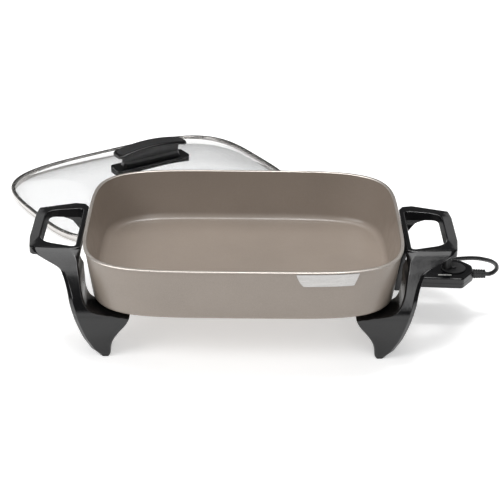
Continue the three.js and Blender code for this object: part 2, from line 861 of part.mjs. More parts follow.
function makeFrames() {
  const sections = legSections();
  const leg = cut(solid(loft(sections.map(legRing))), shelfBevel());
  const hollow = footHollow(sections);
  const mirror = (made) => made.mirror([0, 1, 0]);
  const loop = loft([
    loopRing(frameLoopChamfer, loopBottom),
    loopRing(0, loopBottom + frameLoopChamfer),
    loopRing(0, frameTop - frameLoopChamfer),
    loopRing(frameLoopChamfer, frameTop),
  ]);
  let frame = solid(loop).add(leg).add(mirror(leg)).subtract(hollow).subtract(mirror(hollow));
  frame = cut(frame, loopHole());
  const headBottom = shelfBottom - seat - legScrewHeadHeight;
  for (const y of [-legScrewSide, legScrewSide])
    frame = cut(
      frame,
      rodZ([legScrewX, y], shelfBottom - overrun, panBase, legScrewRadius + seat),
      rodZ([legScrewX, y], headBottom - slip, shelfBottom, legScrewHeadRadius + slip),
    );
  const guarded = cut(frame.add(solid(guardWall())), noseOpening());
  addMesh(part, "side_frame_right", geometryOf(guarded), colours.black);
  addMesh(part, "side_frame_left", geometryOf(frame.mirror([1, 0, 0])), colours.black);
}

function makeLegScrews() {
  const headTop = shelfBottom - seat;
  for (const [end, x] of [["left", -legScrewX], ["right", legScrewX]])
    for (const [place, y] of [["front", -legScrewSide], ["rear", legScrewSide]]) {
      const screw = joined(
        rodZ([x, y], headTop - legScrewHeadHeight, headTop, legScrewHeadRadius),
        rodZ([x, y], headTop - legScrewHeadHeight / 2, panBase, legScrewRadius),
      );
      addMesh(part, `leg_screw_${place}_${end}`, geometryOf(screw), colours.steel);
    }
}

// Heat control

// An outline through corners, each with its own radius, in even steps.
function roundedOutline(corners, steps) {
  return corners.flatMap(([x, y, radius], i) => {
    const corner = new THREE.Vector2(x, y);
    const before = new THREE.Vector2(...corners.at(i - 1)).sub(corner).normalize();
    const after = new THREE.Vector2(...corners[(i + 1) % corners.length]).sub(corner).normalize();
    const reach = radius / Math.tan(Math.acos(before.dot(after)) / 2);
    const start = corner.clone().addScaledVector(before, reach);
    const end = corner.clone().addScaledVector(after, reach);
    const bend = new THREE.QuadraticBezierCurve(start, corner, end);
    return bend.getPoints(steps).map((point) => point.toArray());
  });
}

// Moves each side of a convex outline in by an inset.
function drawnIn(outline, inset) {
  return outline.map(([x, y], i) => {
    const [beforeX, beforeY] = outline.at(i - 1);
    const [afterX, afterY] = outline[(i + 1) % outline.length];
    const before = new THREE.Vector2(x - beforeX, y - beforeY).normalize();
    const after = new THREE.Vector2(afterX - x, afterY - y).normalize();
    const along = before.clone().add(after).normalize();
    const reach = inset / along.dot(before);
    return [x - along.y * reach, y + along.x * reach];
  });
}

// The case's outline in plan, drawn in by an inset.
function caseOutline(inset) {
  const corners = caseShares.map(([along, across, round]) => [
    controlInner + along * controlLength,
    across * controlHalfWidth,
    round * controlHalfWidth,
  ]);
  return drawnIn(roundedOutline(corners, cornerSteps), inset);
}

function reliefRing(x, halfWidth, halfHeight) {
  const round = halfHeight / 3;
  return ringAcross(centredRectangle([0, pinHeight], [halfWidth, halfHeight], round, 2), x);
}

function reliefNeckCutter() {
  const rings = [controlOuter - controlWall - overrun, controlOuter + overrun].map((x) =>
    reliefRing(
      x,
      reliefRootHalfWidth - reliefNeck + seat,
      reliefRootHalfHeight - reliefNeck + seat,
    ),
  );
  return loft(rings);
}

function noseWallCutter() {
  return box(
    [controlInner - overrun, -noseHalfWidth - seat, noseBottom - seat],
    [controlInner + controlWall + seat, noseHalfWidth + seat, noseTop + seat],
  );
}

function makeCase() {
  const screws = [["front", -caseScrewSide], ["rear", caseScrewSide]];
  let base = cut(
    solid(
      loft([
        ringAt(caseOutline(controlChamfer), controlBottom),
        ringAt(caseOutline(0), controlBottom + controlChamfer),
        ringAt(caseOutline(0), pinHeight - seat / 2),
      ]),
    ),
    loft([
      ringAt(caseOutline(controlWall), caseFloor),
      ringAt(caseOutline(controlWall), pinHeight + overrun),
    ]),
    reliefNeckCutter(),
    noseWallCutter(),
  );
  let cover = cut(
    solid(
      loft([
        ringAt(caseOutline(0), pinHeight + seat / 2),
        ringAt(caseOutline(0), controlTop - controlChamfer),
        ringAt(caseOutline(controlChamfer), controlTop),
      ]),
    ),
    loft([
      ringAt(caseOutline(controlWall), pinHeight - overrun),
      ringAt(caseOutline(controlWall), caseCeiling),
    ]),
    reliefNeckCutter(),
    noseWallCutter(),
    rodZ([dialX, 0], caseCeiling - overrun, controlTop + overrun, shaftRadius + slip),
    loft([
      ringAt(lensOutline(seat), caseCeiling - overrun),
      ringAt(lensOutline(seat), controlTop + overrun),
    ]),
  );
  const headBottom = controlBottom + seat;
  const headTop = headBottom + caseScrewHeadHeight;
  for (const [place, y] of screws) {
    const centre = [caseScrewX, y];
    base = cut(
      base,
      rodZ(centre, controlBottom - overrun, headTop + seat, caseScrewHeadRadius + seat),
      rodZ(centre, controlBottom - overrun, caseFloor + overrun, caseScrewRadius + seat),
    );
    const bossBottom = caseFloor + seat;
    const boss = cut(
      solid(rodZ(centre, bossBottom, caseCeiling + controlWall / 2, caseBossRadius)),
      rodZ(centre, bossBottom - overrun, caseCeiling - controlWall, caseScrewRadius + seat),
    );
    cover = cover.add(boss);
    const screw = joined(
      rodZ(centre, headBottom, headTop, caseScrewHeadRadius),
      rodZ(centre, headBottom + caseScrewHeadHeight / 2, pinHeight, caseScrewRadius),
    );
    addMesh(part, `case_screw_${place}`, geometryOf(screw), colours.steel);
  }
  addMesh(part, "control_base", geometryOf(base), colours.black);
  addMesh(part, "control_cover", geometryOf(cover), colours.black);
}

function lensOutline(extra) {
  const half = [lensHalfLength + extra, lensHalfWidth + extra];
  return centredRectangle([lensX, lensY], half, lensHalfWidth, 3);
}

function makeNose() {
  const flangeStart = controlInner + controlWall + seat * 2;
  const flangeEnd = flangeStart + noseFlange;
  const centres = [[-pinSide, pinHeight], [pinSide, pinHeight]];
  const made = cut(
    joined(
      box([noseTip, -noseHalfWidth, noseBottom], [flangeEnd, noseHalfWidth, noseTop]),
      box(
        [flangeStart, -noseHalfWidth - noseFlange, noseBottom],
        [flangeEnd, noseHalfWidth + noseFlange, noseTop],
      ),
    ),
    ...centres.map((c) => rodX(c, noseTip - overrun, flangeEnd + overrun, socketRadius + seat)),
    rodX([0, probeHeight], noseTip - overrun, flangeEnd + overrun, probeRadius + seat),
  );
  addMesh(part, "control_nose", geometryOf(made), colours.blackSatin);
  centres.forEach((centre, i) => {
    const socket = cut(
      solid(rodX(centre, socketStart, socketEnd, socketRadius)),
      rodX(centre, socketStart - overrun, socketEnd + overrun, pinRadius + slip),
    );
    const place = ["front", "rear"][i];
    addMesh(part, `contact_socket_${place}`, geometryOf(socket), colours.brass);
  });
  const probe = rodX([0, probeHeight], probeTip, flangeEnd + overrun, probeRadius);
  addMesh(part, "probe_rod", probe, colours.aluminium);
}

function makeThermostat() {
  const start = socketEnd + overrun;
  const bladeEnd = dialX + shaftRadius;
  const armEnd = THREE.MathUtils.lerp(start, bladeEnd, armShare);
  const block = box(
    [start, -thermostatHalfWidth, noseBottom],
    [start + thermostatLength, thermostatHalfWidth, noseBottom + thermostatHeight],
  );
  addMesh(part, "thermostat_base", block, colours.blackSatin);
  const blade = box(
    [start, -bladeHalfWidth, bladeHeight],
    [bladeEnd, bladeHalfWidth, bladeHeight + bladeThickness],
  );
  addMesh(part, "thermostat_blade", blade, colours.steel);
  const arm = box(
    [start, armOffset - armHalfWidth, bladeHeight],
    [armEnd, armOffset + armHalfWidth, bladeHeight + bladeThickness],
  );
  addMesh(part, "contact_arm", arm, colours.brass);
  const lampHeight = noseBottom + lampRadius;
  const lamp = rodX([lensY, lampHeight], lensX - lampLength / 2, lensX + lampLength / 2, lampRadius);
  addMesh(part, "pilot_lamp", lamp, colours.lamp);
  const lens = loft([
    ringAt(lensOutline(0), caseCeiling),
    ringAt(lensOutline(0), controlTop),
    ringAt(lensOutline(-lensRise), controlTop + lensRise),
  ]);
  addMesh(part, "indicator_lens", lens, colours.lens);
}

function makeDial() {
  const bottom = controlTop + seat;
  const top = bottom + dialHeight;
  const bore = shaftRadius + seat;
  const shaftTop = top - dialCrown;
  const outline = [
    [bore, bottom],
    [dialRadius - dialCrown, bottom],
    [dialRadius, bottom + dialCrown],
    [dialRadius, top - dialCrown],
    [dialRadius - dialCrown, top],
    [dialCrownRadius + dialCrown, top],
    [dialCrownRadius, top + dialCrown],
    [0, top + dialCrown],
    [0, shaftTop + seat],
    [bore, shaftTop + seat],
    [bore, bottom],
  ];
  const profile = outline.map(([r, z]) => new THREE.Vector2(r, z));
  const disc = new THREE.LatheGeometry(profile, dialSides);
  disc.rotateX(Math.PI / 2).translate(dialX, 0, 0);
  const pointerRing = (inset, z) => {
    const halfWidth = dialPointerHalfWidth - inset;
    const low = [dialX - dialRadius + dialCrown + inset, -halfWidth];
    const high = [dialX + dialPointerNose - inset, halfWidth];
    return ringAt(roundedRectangle(low, high, halfWidth, 4), z);
  };
  const pointer = loft([
    pointerRing(0, top - dialCrown),
    pointerRing(dialPointerDraft, top + dialPointerHeight),
  ]);
  addMesh(part, "control_dial", geometryOf(joined(disc, pointer)), colours.blackSatin);
  const shaftBottom = bladeHeight + bladeThickness + seat;
  const collarTop = caseCeiling - seat;
  const shaft = joined(
    rodZ([dialX, 0], shaftBottom, shaftTop, shaftRadius),
    rodZ([dialX, 0], collarTop - shaftCollarHeight, collarTop, shaftCollarRadius),
  );
  addMesh(part, "dial_shaft", geometryOf(shaft), colours.steel);
}

function makeStrainRelief() {
  const flangeEnd = controlOuter - controlWall - 2 * seat;
  const neckWidth = reliefRootHalfWidth - reliefNeck;
  const neckHeight = reliefRootHalfHeight - reliefNeck;
  const made = joined(
    loft([
      reliefRing(flangeEnd - reliefFlange, reliefFlangeHalfWidth, caseHalfHeight()),
      reliefRing(flangeEnd, reliefFlangeHalfWidth, caseHalfHeight()),
    ]),
    loft([
      reliefRing(flangeEnd - reliefFlange / 2, neckWidth, neckHeight),
      reliefRing(controlOuter + seat + reliefNeck, neckWidth, neckHeight),
    ]),
    loft([
      reliefRing(controlOuter + seat, reliefRootHalfWidth, reliefRootHalfHeight),
      reliefRing(reliefEnd, reliefTipHalfWidth, reliefTipHalfHeight),
    ]),
  );
  addMesh(part, "strain_relief", geometryOf(made), colours.blackSatin);
}

// Half the height that the strain relief's inner flange has between the case's floor and ceiling.
function caseHalfHeight() {
  return controlHeight / 2 - controlWall - seat;
}

// Cord, coil, tie and plug

function makeCord() {
  const start = [reliefEnd + seat, 0, pinHeight];
  const end = [coilX + 2 * cordRadius + seat, coilY - coilOuter, coilLow];
  const route = cordShares.map((shares) => {
    const point = shares.map((share, axis) => THREE.MathUtils.lerp(start[axis], end[axis], share));
    return new THREE.Vector3(...point);
  });
  const path = new THREE.CatmullRomCurve3(route);
  addMesh(part, "cord", barAlong(path, cordRadius, cordSides, cordSteps), colours.blackSatin);
  return path.getLength();
}

// The coil's centreline: it spirals in on the floor, climbs a layer in the half turn where the spiral
// reverses, and spirals out on top, with a straight end towards the cord and towards the plug.
function coilPoints() {
  const total = coilTurns * 2 * Math.PI;
  const reverse = total / 2;
  const steps = coilTurns * coilStepsPerTurn;
  const turns = Array.from({ length: steps + 1 }, (_, i) => {
    const angle = (i / steps) * total;
    const fromReverse = Math.abs(angle - reverse) / (2 * Math.PI);
    const radius = coilOuter - coilPitch * (coilTurns / 2 - fromReverse);
    const climb = THREE.MathUtils.smoothstep(angle, reverse - Math.PI / 2, reverse + Math.PI / 2);
    return new THREE.Vector3(
      coilX - radius * Math.sin(angle),
      coilY - radius * Math.cos(angle),
      coilLow + climb * coilPitch,
    );
  });
  const start = turns[0].clone().setX(coilX + 2 * cordRadius);
  const end = turns.at(-1).clone().setX(coilX + plugLead);
  return [start, ...turns, end];
}

// Rings square to a row of points, without twist.
function ringsAlong(points, radius, sides) {
  let across = new THREE.Vector3(0, 0, 1);
  return points.map((point, i) => {
    const before = points[Math.max(i - 1, 0)];
    const after = points[Math.min(i + 1, points.length - 1)];
    const tangent = after.clone().sub(before).normalize();
    across = across.clone().addScaledVector(tangent, -across.dot(tangent)).normalize();
    const other = new THREE.Vector3().crossVectors(tangent, across);
    return Array.from({ length: sides }, (_, s) => {
      const angle = (s / sides) * 2 * Math.PI;
      return point
        .clone()
        .addScaledVector(across, radius * Math.cos(angle))
        .addScaledVector(other, radius * Math.sin(angle));
    });
  });
}

// The least clear distance between stretches of a tube that aren't neighbours along it.
function leastGap(points, radius, skip) {
  let least = Infinity;
  for (let i = 0; i < points.length; i++)
    for (let j = i + skip; j < points.length; j++)
      least = Math.min(least, points[i].distanceTo(points[j]));
  return least - 2 * radius;
}

function makeCoil() {
  const points = coilPoints();
  const coil = loft(ringsAlong(points, cordRadius, coilSides));
  addMesh(part, "cord_coil", coil, colours.blackSatin);
  const gap = leastGap(points, cordRadius, coilStepsPerTurn / 2);
  console.log(`least gap of the coil to itself: ${gap.toFixed(2)} mm`);
  const length = points.slice(1).reduce((sum, p, i) => sum + p.distanceTo(points[i]), 0);
  return length;
}

// The tie goes round the coil's four strands on the side away from the cord.
function makeTie() {
  const middle = coilX - coilOuter + coilPitch * 0.75;
  const height = (coilLow + coilHigh) / 2;
  const rings = [-tieWidth / 2, tieWidth / 2].flatMap((along, i) => {
    const loops = [0, tieThickness].map((extra) => {
      const halfZ = coilPitch / 2 + cordRadius + seat + extra;
      return centredRectangle([middle, height], [halfZ + seat, halfZ], cordRadius, 3).map(
        ([x, z]) => new THREE.Vector3(x, coilY + along, z),
      );
    });
    return i ? loops.toReversed() : loops;
  });
  addMesh(part, "cord_tie", band(rings), colours.silicone);
}

function makePlug() {
  const y = coilY + coilOuter;
  const height = coilHigh;
  const start = coilX + plugLead + seat;
  const ring = (x, halfWidth, halfHeight) =>
    ringAcross(centredRectangle([y, height], [halfWidth, halfHeight], halfHeight / 2, 2), x);
  const neck = plugLength / 3;
  const end = start + plugLength;
  let made = solid(
    loft([
      ring(start, plugNeckHalfWidth, plugNeckHalfWidth),
      ring(start + neck, plugNeckHalfWidth, plugNeckHalfWidth),
      ring(start + 2 * neck, plugHalfWidth, height),
      ring(end, plugHalfWidth, height),
    ]),
  );
  for (const [place, side] of [["front", -1], ["rear", 1]]) {
    const middle = y + (side * bladeSpacing) / 2;
    const prong = (extra, from, to) =>
      box(
        [from, middle - prongThickness / 2 - extra, height - prongHeight / 2 - extra],
        [to, middle + prongThickness / 2 + extra, height + prongHeight / 2 + extra],
      );
    made = cut(made, prong(seat, end - prongDepth, end + overrun));
    const blade = prong(0, end - prongDepth + seat, end + prongLength);
    addMesh(part, `plug_blade_${place}`, blade, colours.brass);
  }
  addMesh(part, "plug", geometryOf(made), colours.blackSatin);
}

// Cover, built about its own middle

function lidOutline(inset, share = 1) {
  const power = THREE.MathUtils.lerp(2, lidSquareness, share);
  return superellipse((lidHalfLength - inset) * share, (lidHalfDepth - inset) * share, power);
}

// Height of the glass's upper face at a share of the way out to its edge.
function domeHeight(share) {
  const edge = 1 - glassFlat / lidHalfLength;
  return domeTop - domeRise * Math.min(share / edge, 1) ** 2;
}

// The dome between its lower and upper face, both moved out by an offset.
function domeSolid(offset) {
  const inset = lidSheet + seat;
  const below = domeShares.toReversed().map((share) =>
    ringAt(lidOutline(inset, share), domeHeight(share) - glassThickness - offset),
  );
  const above = domeShares.map((share) =>
    ringAt(lidOutline(inset, share), domeHeight(share) + offset),
  );
  return solid(loft([...below, ...above]));
}

function lidScrewCentres() {
  return [["left", -lidScrewX], ["right", lidScrewX]];
}

function makeGlass() {
  const made = lidScrewCentres().reduce(
    (rest, [, x]) => cut(rest, rodZ([x, 0], 0, domeTop + overrun, lidScrewRadius + slip)),
    domeSolid(0),
  );
  addMesh(lid, "lid_glass", geometryOf(made), colours.glass);
}

// The rim's section: a channel round the glass's edge with a skirt below it.
function makeRim() {
  const skirtInner = lidSkirtInset + lidSheet;
  const channelFloor = lidSkirtHeight + lidSheet;
  const channelTop = lidRimHeight - lidSheet;
  const section = [
    [lidSkirtInset, 0],
    [lidSkirtInset, lidSkirtHeight],
    [0, lidSkirtHeight],
    [0, channelTop],
    [lidSheet, lidRimHeight],
    [lidRimCover, lidRimHeight],
    [lidRimCover, channelTop],
    [lidSheet, channelTop],
    [lidSheet, channelFloor],
    [skirtInner, channelFloor],
    [skirtInner, 0],
  ];
  addMesh(lid, "lid_rim", band(section.map(([inset, z]) => ringAt(lidOutline(inset), z))), colours.steel);
}

function footOutline() {
  return centredRectangle([0, 0], [handleHalfLength, handleHalfWidth], handleFootRadius);
}

function makeGasket() {
  const top = handleFootBottom - seat;
  const block = loft([
    ringAt(footOutline(), domeTop - domeRise / 4),
    ringAt(footOutline(), top),
  ]);
  let made = solid(block).subtract(domeSolid(seat));
  for (const [, x] of lidScrewCentres())
    made = cut(made, rodZ([x, 0], 0, top + overrun, lidScrewRadius + slip));
  const upper = made.decompose().find((body) => body.boundingBox().max[2] > domeTop);
  addMesh(lid, "lid_gasket", geometryOf(upper), colours.silicone);
}

// Height of the arched underside of the cap at a place along the handle.
function capHeight(x) {
  return webTop + seat + capArch * (1 - (x / capHalfLength) ** 2);
}

// A bar along the handle that follows the cap's arch between two offsets from its underside.
function archedBar(halfLength, halfWidth, low, high, round) {
  const rings = Array.from({ length: archSteps + 1 }, (_, i) => {
    const x = THREE.MathUtils.lerp(-halfLength, halfLength, i / archSteps);
    const base = capHeight(x);
    const middle = base + (low + high) / 2;
    return ringAcross(centredRectangle([0, middle], [halfWidth, (high - low) / 2], round, 2), x);
  });
  return loft(rings);
}

function makeHandle() {
  const round = capThickness / 2;
  const webRing = (halfLength, halfWidth, z) =>
    ringAt(centredRectangle([0, 0], [halfLength, halfWidth], halfWidth / 2), z);
  const reach = capArch + webHeight;
  const web = solid(
    loft([
      webRing(webHalfLength, webHalfWidth, handleFootTop - handleFootThickness / 2),
      webRing(webHalfLength - webWaist, webHalfWidth - webWaist, handleFootTop + webHeight / 3),
      webRing(webHalfLength - webWaist, webHalfWidth - webWaist, handleFootTop + webHeight / 2),
      webRing(webHalfLength, webHalfWidth, handleFootTop + reach),
    ]),
  ).subtract(solid(archedBar(capHalfLength + overrun, capHalfWidth + overrun, 0, reach, 0)));
  const foot = loft([
    ringAt(footOutline(), handleFootBottom),
    ringAt(footOutline(), handleFootTop),
  ]);
  let made = solid(foot).add(web);
  for (const [side, x] of lidScrewCentres()) {
    const screwTop = handleFootBottom + lidScrewReach;
    made = cut(made, rodZ([x, 0], handleFootBottom - overrun, screwTop + seat, lidScrewRadius + seat));
    const headTop = backingTop - washerPlateThickness - seat;
    const screw = joined(
      rodZ([x, 0], headTop - lidScrewHeadHeight, headTop, lidScrewHeadRadius),
      rodZ([x, 0], headTop - lidScrewHeadHeight / 2, screwTop, lidScrewRadius),
    );
    addMesh(lid, `lid_screw_${side}`, geometryOf(screw), colours.steel);
  }
  addMesh(lid, "lid_handle_body", geometryOf(made), colours.black);
  const pocket = archedBar(
    capHalfLength - insertMargin,
    capHalfWidth - insertMargin,
    capThickness - insertThickness,
    capThickness + overrun,
    0,
  );
  const cap = cut(solid(archedBar(capHalfLength, capHalfWidth, seat, capThickness, round)), pocket);
  addMesh(lid, "lid_handle_cap", geometryOf(cap), colours.black);
  const insert = archedBar(
    capHalfLength - insertMargin - seat,
    capHalfWidth - insertMargin - seat,
    capThickness - insertThickness + seat,
    capThickness + seat,
    seat,
  );
  addMesh(lid, "lid_handle_insert", insert, colours.blackSatin);
}

function makeWasherPlate() {
  const outline = centredRectangle(
    [0, 0],
    [washerPlateHalfLength, washerPlateHalfWidth],
    washerPlateHalfWidth / 2,
  );
  const bottom = backingTop - washerPlateThickness;
  let made = solid(loft([ringAt(outline, bottom), ringAt(outline, backingTop)]));
  for (const [, x] of lidScrewCentres())
    made = cut(made, rodZ([x, 0], 0, domeTop, lidScrewRadius + seat));
  addMesh(lid, "lid_backing_plate", geometryOf(made), colours.steel);
}

makePan();
makeNamePlate();
makeElement();
makeTerminals();
makeBracket();
makeFrames();
makeLegScrews();
makeCase();
makeNose();
makeThermostat();
makeDial();
makeStrainRelief();
const freeLength = makeCord();
const coilLength = makeCoil();
makeTie();
makePlug();
makeGlass();
makeRim();
makeGasket();
makeHandle();
makeWasherPlate();
console.log(`cord: ${freeLength.toFixed(0)} mm free and ${coilLength.toFixed(0)} mm in the coil`);

// The origin is on the floor under the middle of everything but the cord.
const skillet = new THREE.Group();
skillet.add(part);
skillet.updateMatrixWorld(true);
const reach = new THREE.Box3();
const onCord = ["cord", "cord_coil", "cord_tie", "plug", "plug_blade_front", "plug_blade_rear"];
skillet.traverse((piece) => {
  if (piece.isMesh && !onCord.includes(piece.name)) reach.expandByObject(piece, true);
});
const middle = reach.getCenter(new THREE.Vector3());
part.position.set(-middle.x, -middle.y, 0);

export default skillet;
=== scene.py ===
# The looks of the electric skillet: finer shapes, materials, cord, camera and light around its packed
# model. Metres. Shapes are drawn about the middle of the pan, or of the cover, and then moved there.
import json
import math

import bmesh
import bpy
import numpy as np
from mathutils import Matrix, Vector


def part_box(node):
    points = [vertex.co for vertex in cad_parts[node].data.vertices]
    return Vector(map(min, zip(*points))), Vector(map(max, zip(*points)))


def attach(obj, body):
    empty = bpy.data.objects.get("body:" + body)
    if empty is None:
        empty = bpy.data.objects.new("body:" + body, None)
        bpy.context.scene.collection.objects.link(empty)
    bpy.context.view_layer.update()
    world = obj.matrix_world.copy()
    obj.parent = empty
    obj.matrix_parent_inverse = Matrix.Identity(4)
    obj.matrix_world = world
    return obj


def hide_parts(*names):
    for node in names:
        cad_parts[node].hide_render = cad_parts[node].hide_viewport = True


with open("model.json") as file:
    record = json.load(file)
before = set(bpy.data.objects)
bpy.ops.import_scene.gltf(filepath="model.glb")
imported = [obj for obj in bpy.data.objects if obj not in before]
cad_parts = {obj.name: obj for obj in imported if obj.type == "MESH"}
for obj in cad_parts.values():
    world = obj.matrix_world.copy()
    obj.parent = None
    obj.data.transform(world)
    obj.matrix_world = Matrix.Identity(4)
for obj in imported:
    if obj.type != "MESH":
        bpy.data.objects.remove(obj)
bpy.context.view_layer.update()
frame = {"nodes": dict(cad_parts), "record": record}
nodes = frame["nodes"]

# Clearances, and what counts as one point or as the axis
SEAT = 0.0003
SLIP = 0.0005
OVERRUN = 0.004
WELD = 1e-7
AXIS_RADIUS = 1e-6

# Camera and its target, measured from the middle of the pan
ELEVATION = math.radians(26.15)
AZIMUTH = math.radians(-0.19)
ROLL = math.radians(0.63)
DISTANCE = 2.092
TARGET = Vector((0.0084, 0, 0.0866))
LENS_MM = 115.1

# Pan
PAN_HALF_LENGTH = 0.203
PAN_HALF_DEPTH = 0.157
PAN_RIM = 0.133
PAN_DEPTH = 0.0715
PAN_TAPER = 0.0095
PAN_SQUARENESS = 4.7
PAN_WALL = 0.003
PAN_FLOOR = 0.004
LIP_DROP = 0.0024
LIP_OVERHANG = 0.0015
LIP_ROUND = 0.001
BASE_RADIUS = 0.008
INNER_RADIUS = 0.010
BOSS_RADIUS = 0.0055
# Depth of the lip's band of pale metal, a painted highlight, and the upward part of a face's direction that
# splits level from steep
LIP_HIGHLIGHT_DEPTH = 0.0014
STEEP = 0.5
PLATE_WIDTH = 0.078
PLATE_SHARE = 0.315
PLATE_HEIGHT = 0.0175
PLATE_THICKNESS = 0.001
PLATE_DROP = 0.0004
PLATE_EDGE = 0.0003
PLATE_COLUMNS = 40
# Rows: height from the plate's top, and its left and right end along its top edge
PLATE_ROWS = [(0, 0, 1), (0.45, 0.04, 0.965), (0.8, 0.085, 0.935), (1, 0.125, 0.915)]

# Side frames
FRAME_GAP = 0.004
FRAME_REACH = 0.069
FRAME_TUCK = 0.0665
SHELF_DROP = 0.0035
GRIP_DROP = 0.015
STANCE = 0.133
LOOP_HALF_WIDTH = 0.0745
LOOP_THICKNESS = 0.012
LOOP_ROUND = 0.0018
LOOP_UNDER_ROUND = 0.007
INNER_BAR = 0.0065
OUTER_BAR = 0.014
HOLE_HALF_WIDTH = 0.058
HOLE_OUTER_HALF_WIDTH = 0.049
HOLE_TAPER = 0.003
HOLE_CORNER = 0.006
HOLE_OUTER_CORNER = 0.022
HOLE_REAR_WIDEN = 0.0065
HOLE_FRONT_NARROW = 0.008
HOLE_FRONT_CORNER = 0.028
HOLE_ROUND = 0.0016
FRAME_BEVEL = 0.006
FRAME_EDGE = 0.0018
ARM_TURN_START = 0.1
ARM_TURN = 0.013
ARM_SKEW = 0.0075
FRAME_SKIN = 0.003
FOOT_SOLE = 0.008
SHELF_THICKNESS = 0.008
SHELF_BEVEL_DROP = 0.0048
SHELF_BEVEL_DEPTH = 0.015
SHELF_EDGE = 0.0004
GUARD_HALF_WIDTH = 0.030
GUARD_THICKNESS = 0.010
GUARD_DROP = 0.017
GUARD_LEAN = 0.005
LEG_SCREW_INSET = 0.047
LEG_SCREW_SHARE = 0.8
LEG_SCREW_RADIUS = 0.002
CORNER_STEPS = 4
FOOT_STEPS = 40
ARM_STEPS = 60

# Rows: height, inner and outer side, front and rear face, and an arm's lean of the inner side, as in the
# solids
FOOT_ROWS = [
    (0, -0.58, -0.42, 0.985, 0.68),
    (0.05, -0.61, -0.36, 0.985, 0.67),
    (0.12, -0.62, -0.28, 0.99, 0.66),
    (0.26, -0.63, -0.19, 0.99, 0.66),
    (0.41, -0.68, -0.11, 0.995, 0.66),
    (0.57, -0.77, -0.05, 1, 0.66),
    (0.78, -0.92, 0.02, 1, 0.66),
    (0.93, -0.985, 0.06, 1, 0.66),
    (1, -1, 0.075, 0.995, 0.66),
]
ARM_ROWS = [
    (0, -0.6, 0.08, 0.995, 0.66, 0),
    (0.042, -0.39, 0.09, 0.993, 0.66, 0.02),
    (0.093, -0.285, 0.1, 0.988, 0.65, 0.04),
    (0.167, -0.21, 0.12, 0.978, 0.61, 0.05),
    (0.255, -0.16, 0.14, 0.961, 0.55, 0.05),
    (0.393, -0.11, 0.17, 0.914, 0.48, 0.03),
    (0.528, -0.075, 0.22, 0.842, 0.44, 0.01),
    (0.637, -0.045, 0.28, 0.767, 0.43, -0.01),
    (0.725, -0.015, 0.36, 0.698, 0.43, 0),
    (0.775, 0, 0.48, 0.657, 0.43, 0),
    (0.833, 0, 0.65, 0.611, 0.43, 0),
    (0.915, 0, 0.85, 0.548, 0.43, 0),
    (0.96, 0, 0.9, 0.513, 0.43, 0),
    (0.99, 0, 0.92, 0.48, 0.43, 0),
]
# Corners of the loop: out from the frame's inner side, to the side, radius, how far its edge lies below
# the top, and the place of its crest, out and to the side
LOOP_CORNERS = [
    (0, -0.8, 0.002, 0.0004, 0.05, -0.74),
    (0.07, -0.84, 0.003, 0.0004, 0.08, -0.78),
    (0.2, -0.865, 0.005, 0.0004, 0.2, -0.8),
    (0.94, -0.79, 0.01, 0.0015, 0.79, -0.66),
    (1, -0.3, 0.01, 0.0035, 0.81, -0.3),
    (1, 0.64, 0.006, 0.0035, 0.81, 0.45),
    (0.955, 0.86, 0.0025, 0.002, 0.8, 0.68),
    (0.26, 1.045, 0.006, 0.0008, 0.26, 0.86),
    (0.07, 1, 0.003, 0.0006, 0.09, 0.83),
    (0, 0.88, 0.002, 0.0006, 0.05, 0.77),
]
# Rows: out from the frame's inner side, and share of the bevel's depth
SHELF_BEVEL_ROWS = [(-1.05, 1.05), (-0.8, 0.5), (-0.6, 0.04)]

# Heating element
ELEMENT_RADIUS = 0.004
ELEMENT_END_MARGIN = 0.081
ELEMENT_SIDE_MARGIN = 0.072
ELEMENT_BEND = 0.028
ELEMENT_INSET = 0.045
PIN_SPACING = 0.024
PIN_DROP = 0.0065

# Heat control
CASE_GAP = 0.0025
CASE_LENGTH = 0.0925
CASE_HEIGHT = 0.0148
CASE_HALF_WIDTH = 0.0305
CASE_WALL = 0.0022
CASE_ROUND = 0.0022
NOSE_HALF_WIDTH = 0.019
NOSE_ROOM = 0.003
DIAL_INSET = 0.026
DIAL_RADIUS = 0.016
DIAL_HEIGHT = 0.0036
DIAL_RISE = 0.0014
DIAL_ROUND = 0.0005
DIAL_CROWN = 0.0009
POINTER_HEIGHT = 0.012
POINTER_HALF_WIDTH = 0.007
POINTER_NOSE = -0.0025
POINTER_DRAFT = 0.001
POINTER_ROUND = 0.0015
SHAFT_RADIUS = 0.003
LENS_SHARE = 0.578
LENS_INSET = 0.0115
LENS_HALF_LENGTH = 0.009
LENS_HALF_WIDTH = 0.0015
LENS_RISE = 0.0005
CASE_SCREW_INSET = 0.0185
CASE_SCREW_SIDE = 0.020
CASE_SCREW_RADIUS = 0.0013
CASE_SCREW_HEAD_RADIUS = 0.0026
CASE_SCREW_HEAD = 0.0012
CASE_BOSS_RADIUS = 0.0034
# Corners: share of the length and of the half width, and radius in half widths
CASE_CORNERS = [
    (0, -0.86, 0.16),
    (0.825, -1, 0.22),
    (1, -0.22, 0.25),
    (1, 0.34, 0.35),
    (0.83, 0.92, 0.45),
    (0, 0.86, 0.16),
]
RELIEF_LENGTH = 0.0162
RELIEF_ROOT = np.array((0.0058, 0.005))
RELIEF_TIP = np.array((0.0053, 0.0046))
RELIEF_NECK = 0.0016
RELIEF_FLANGE_HALF_WIDTH = 0.0054
RELIEF_FLANGE = 0.003
RELIEF_RIBS = 4
RELIEF_GROOVE = 0.0006
RELIEF_GROOVE_SHARE = 0.25
RELIEF_MARGIN = 0.02
RELIEF_STEPS = 64

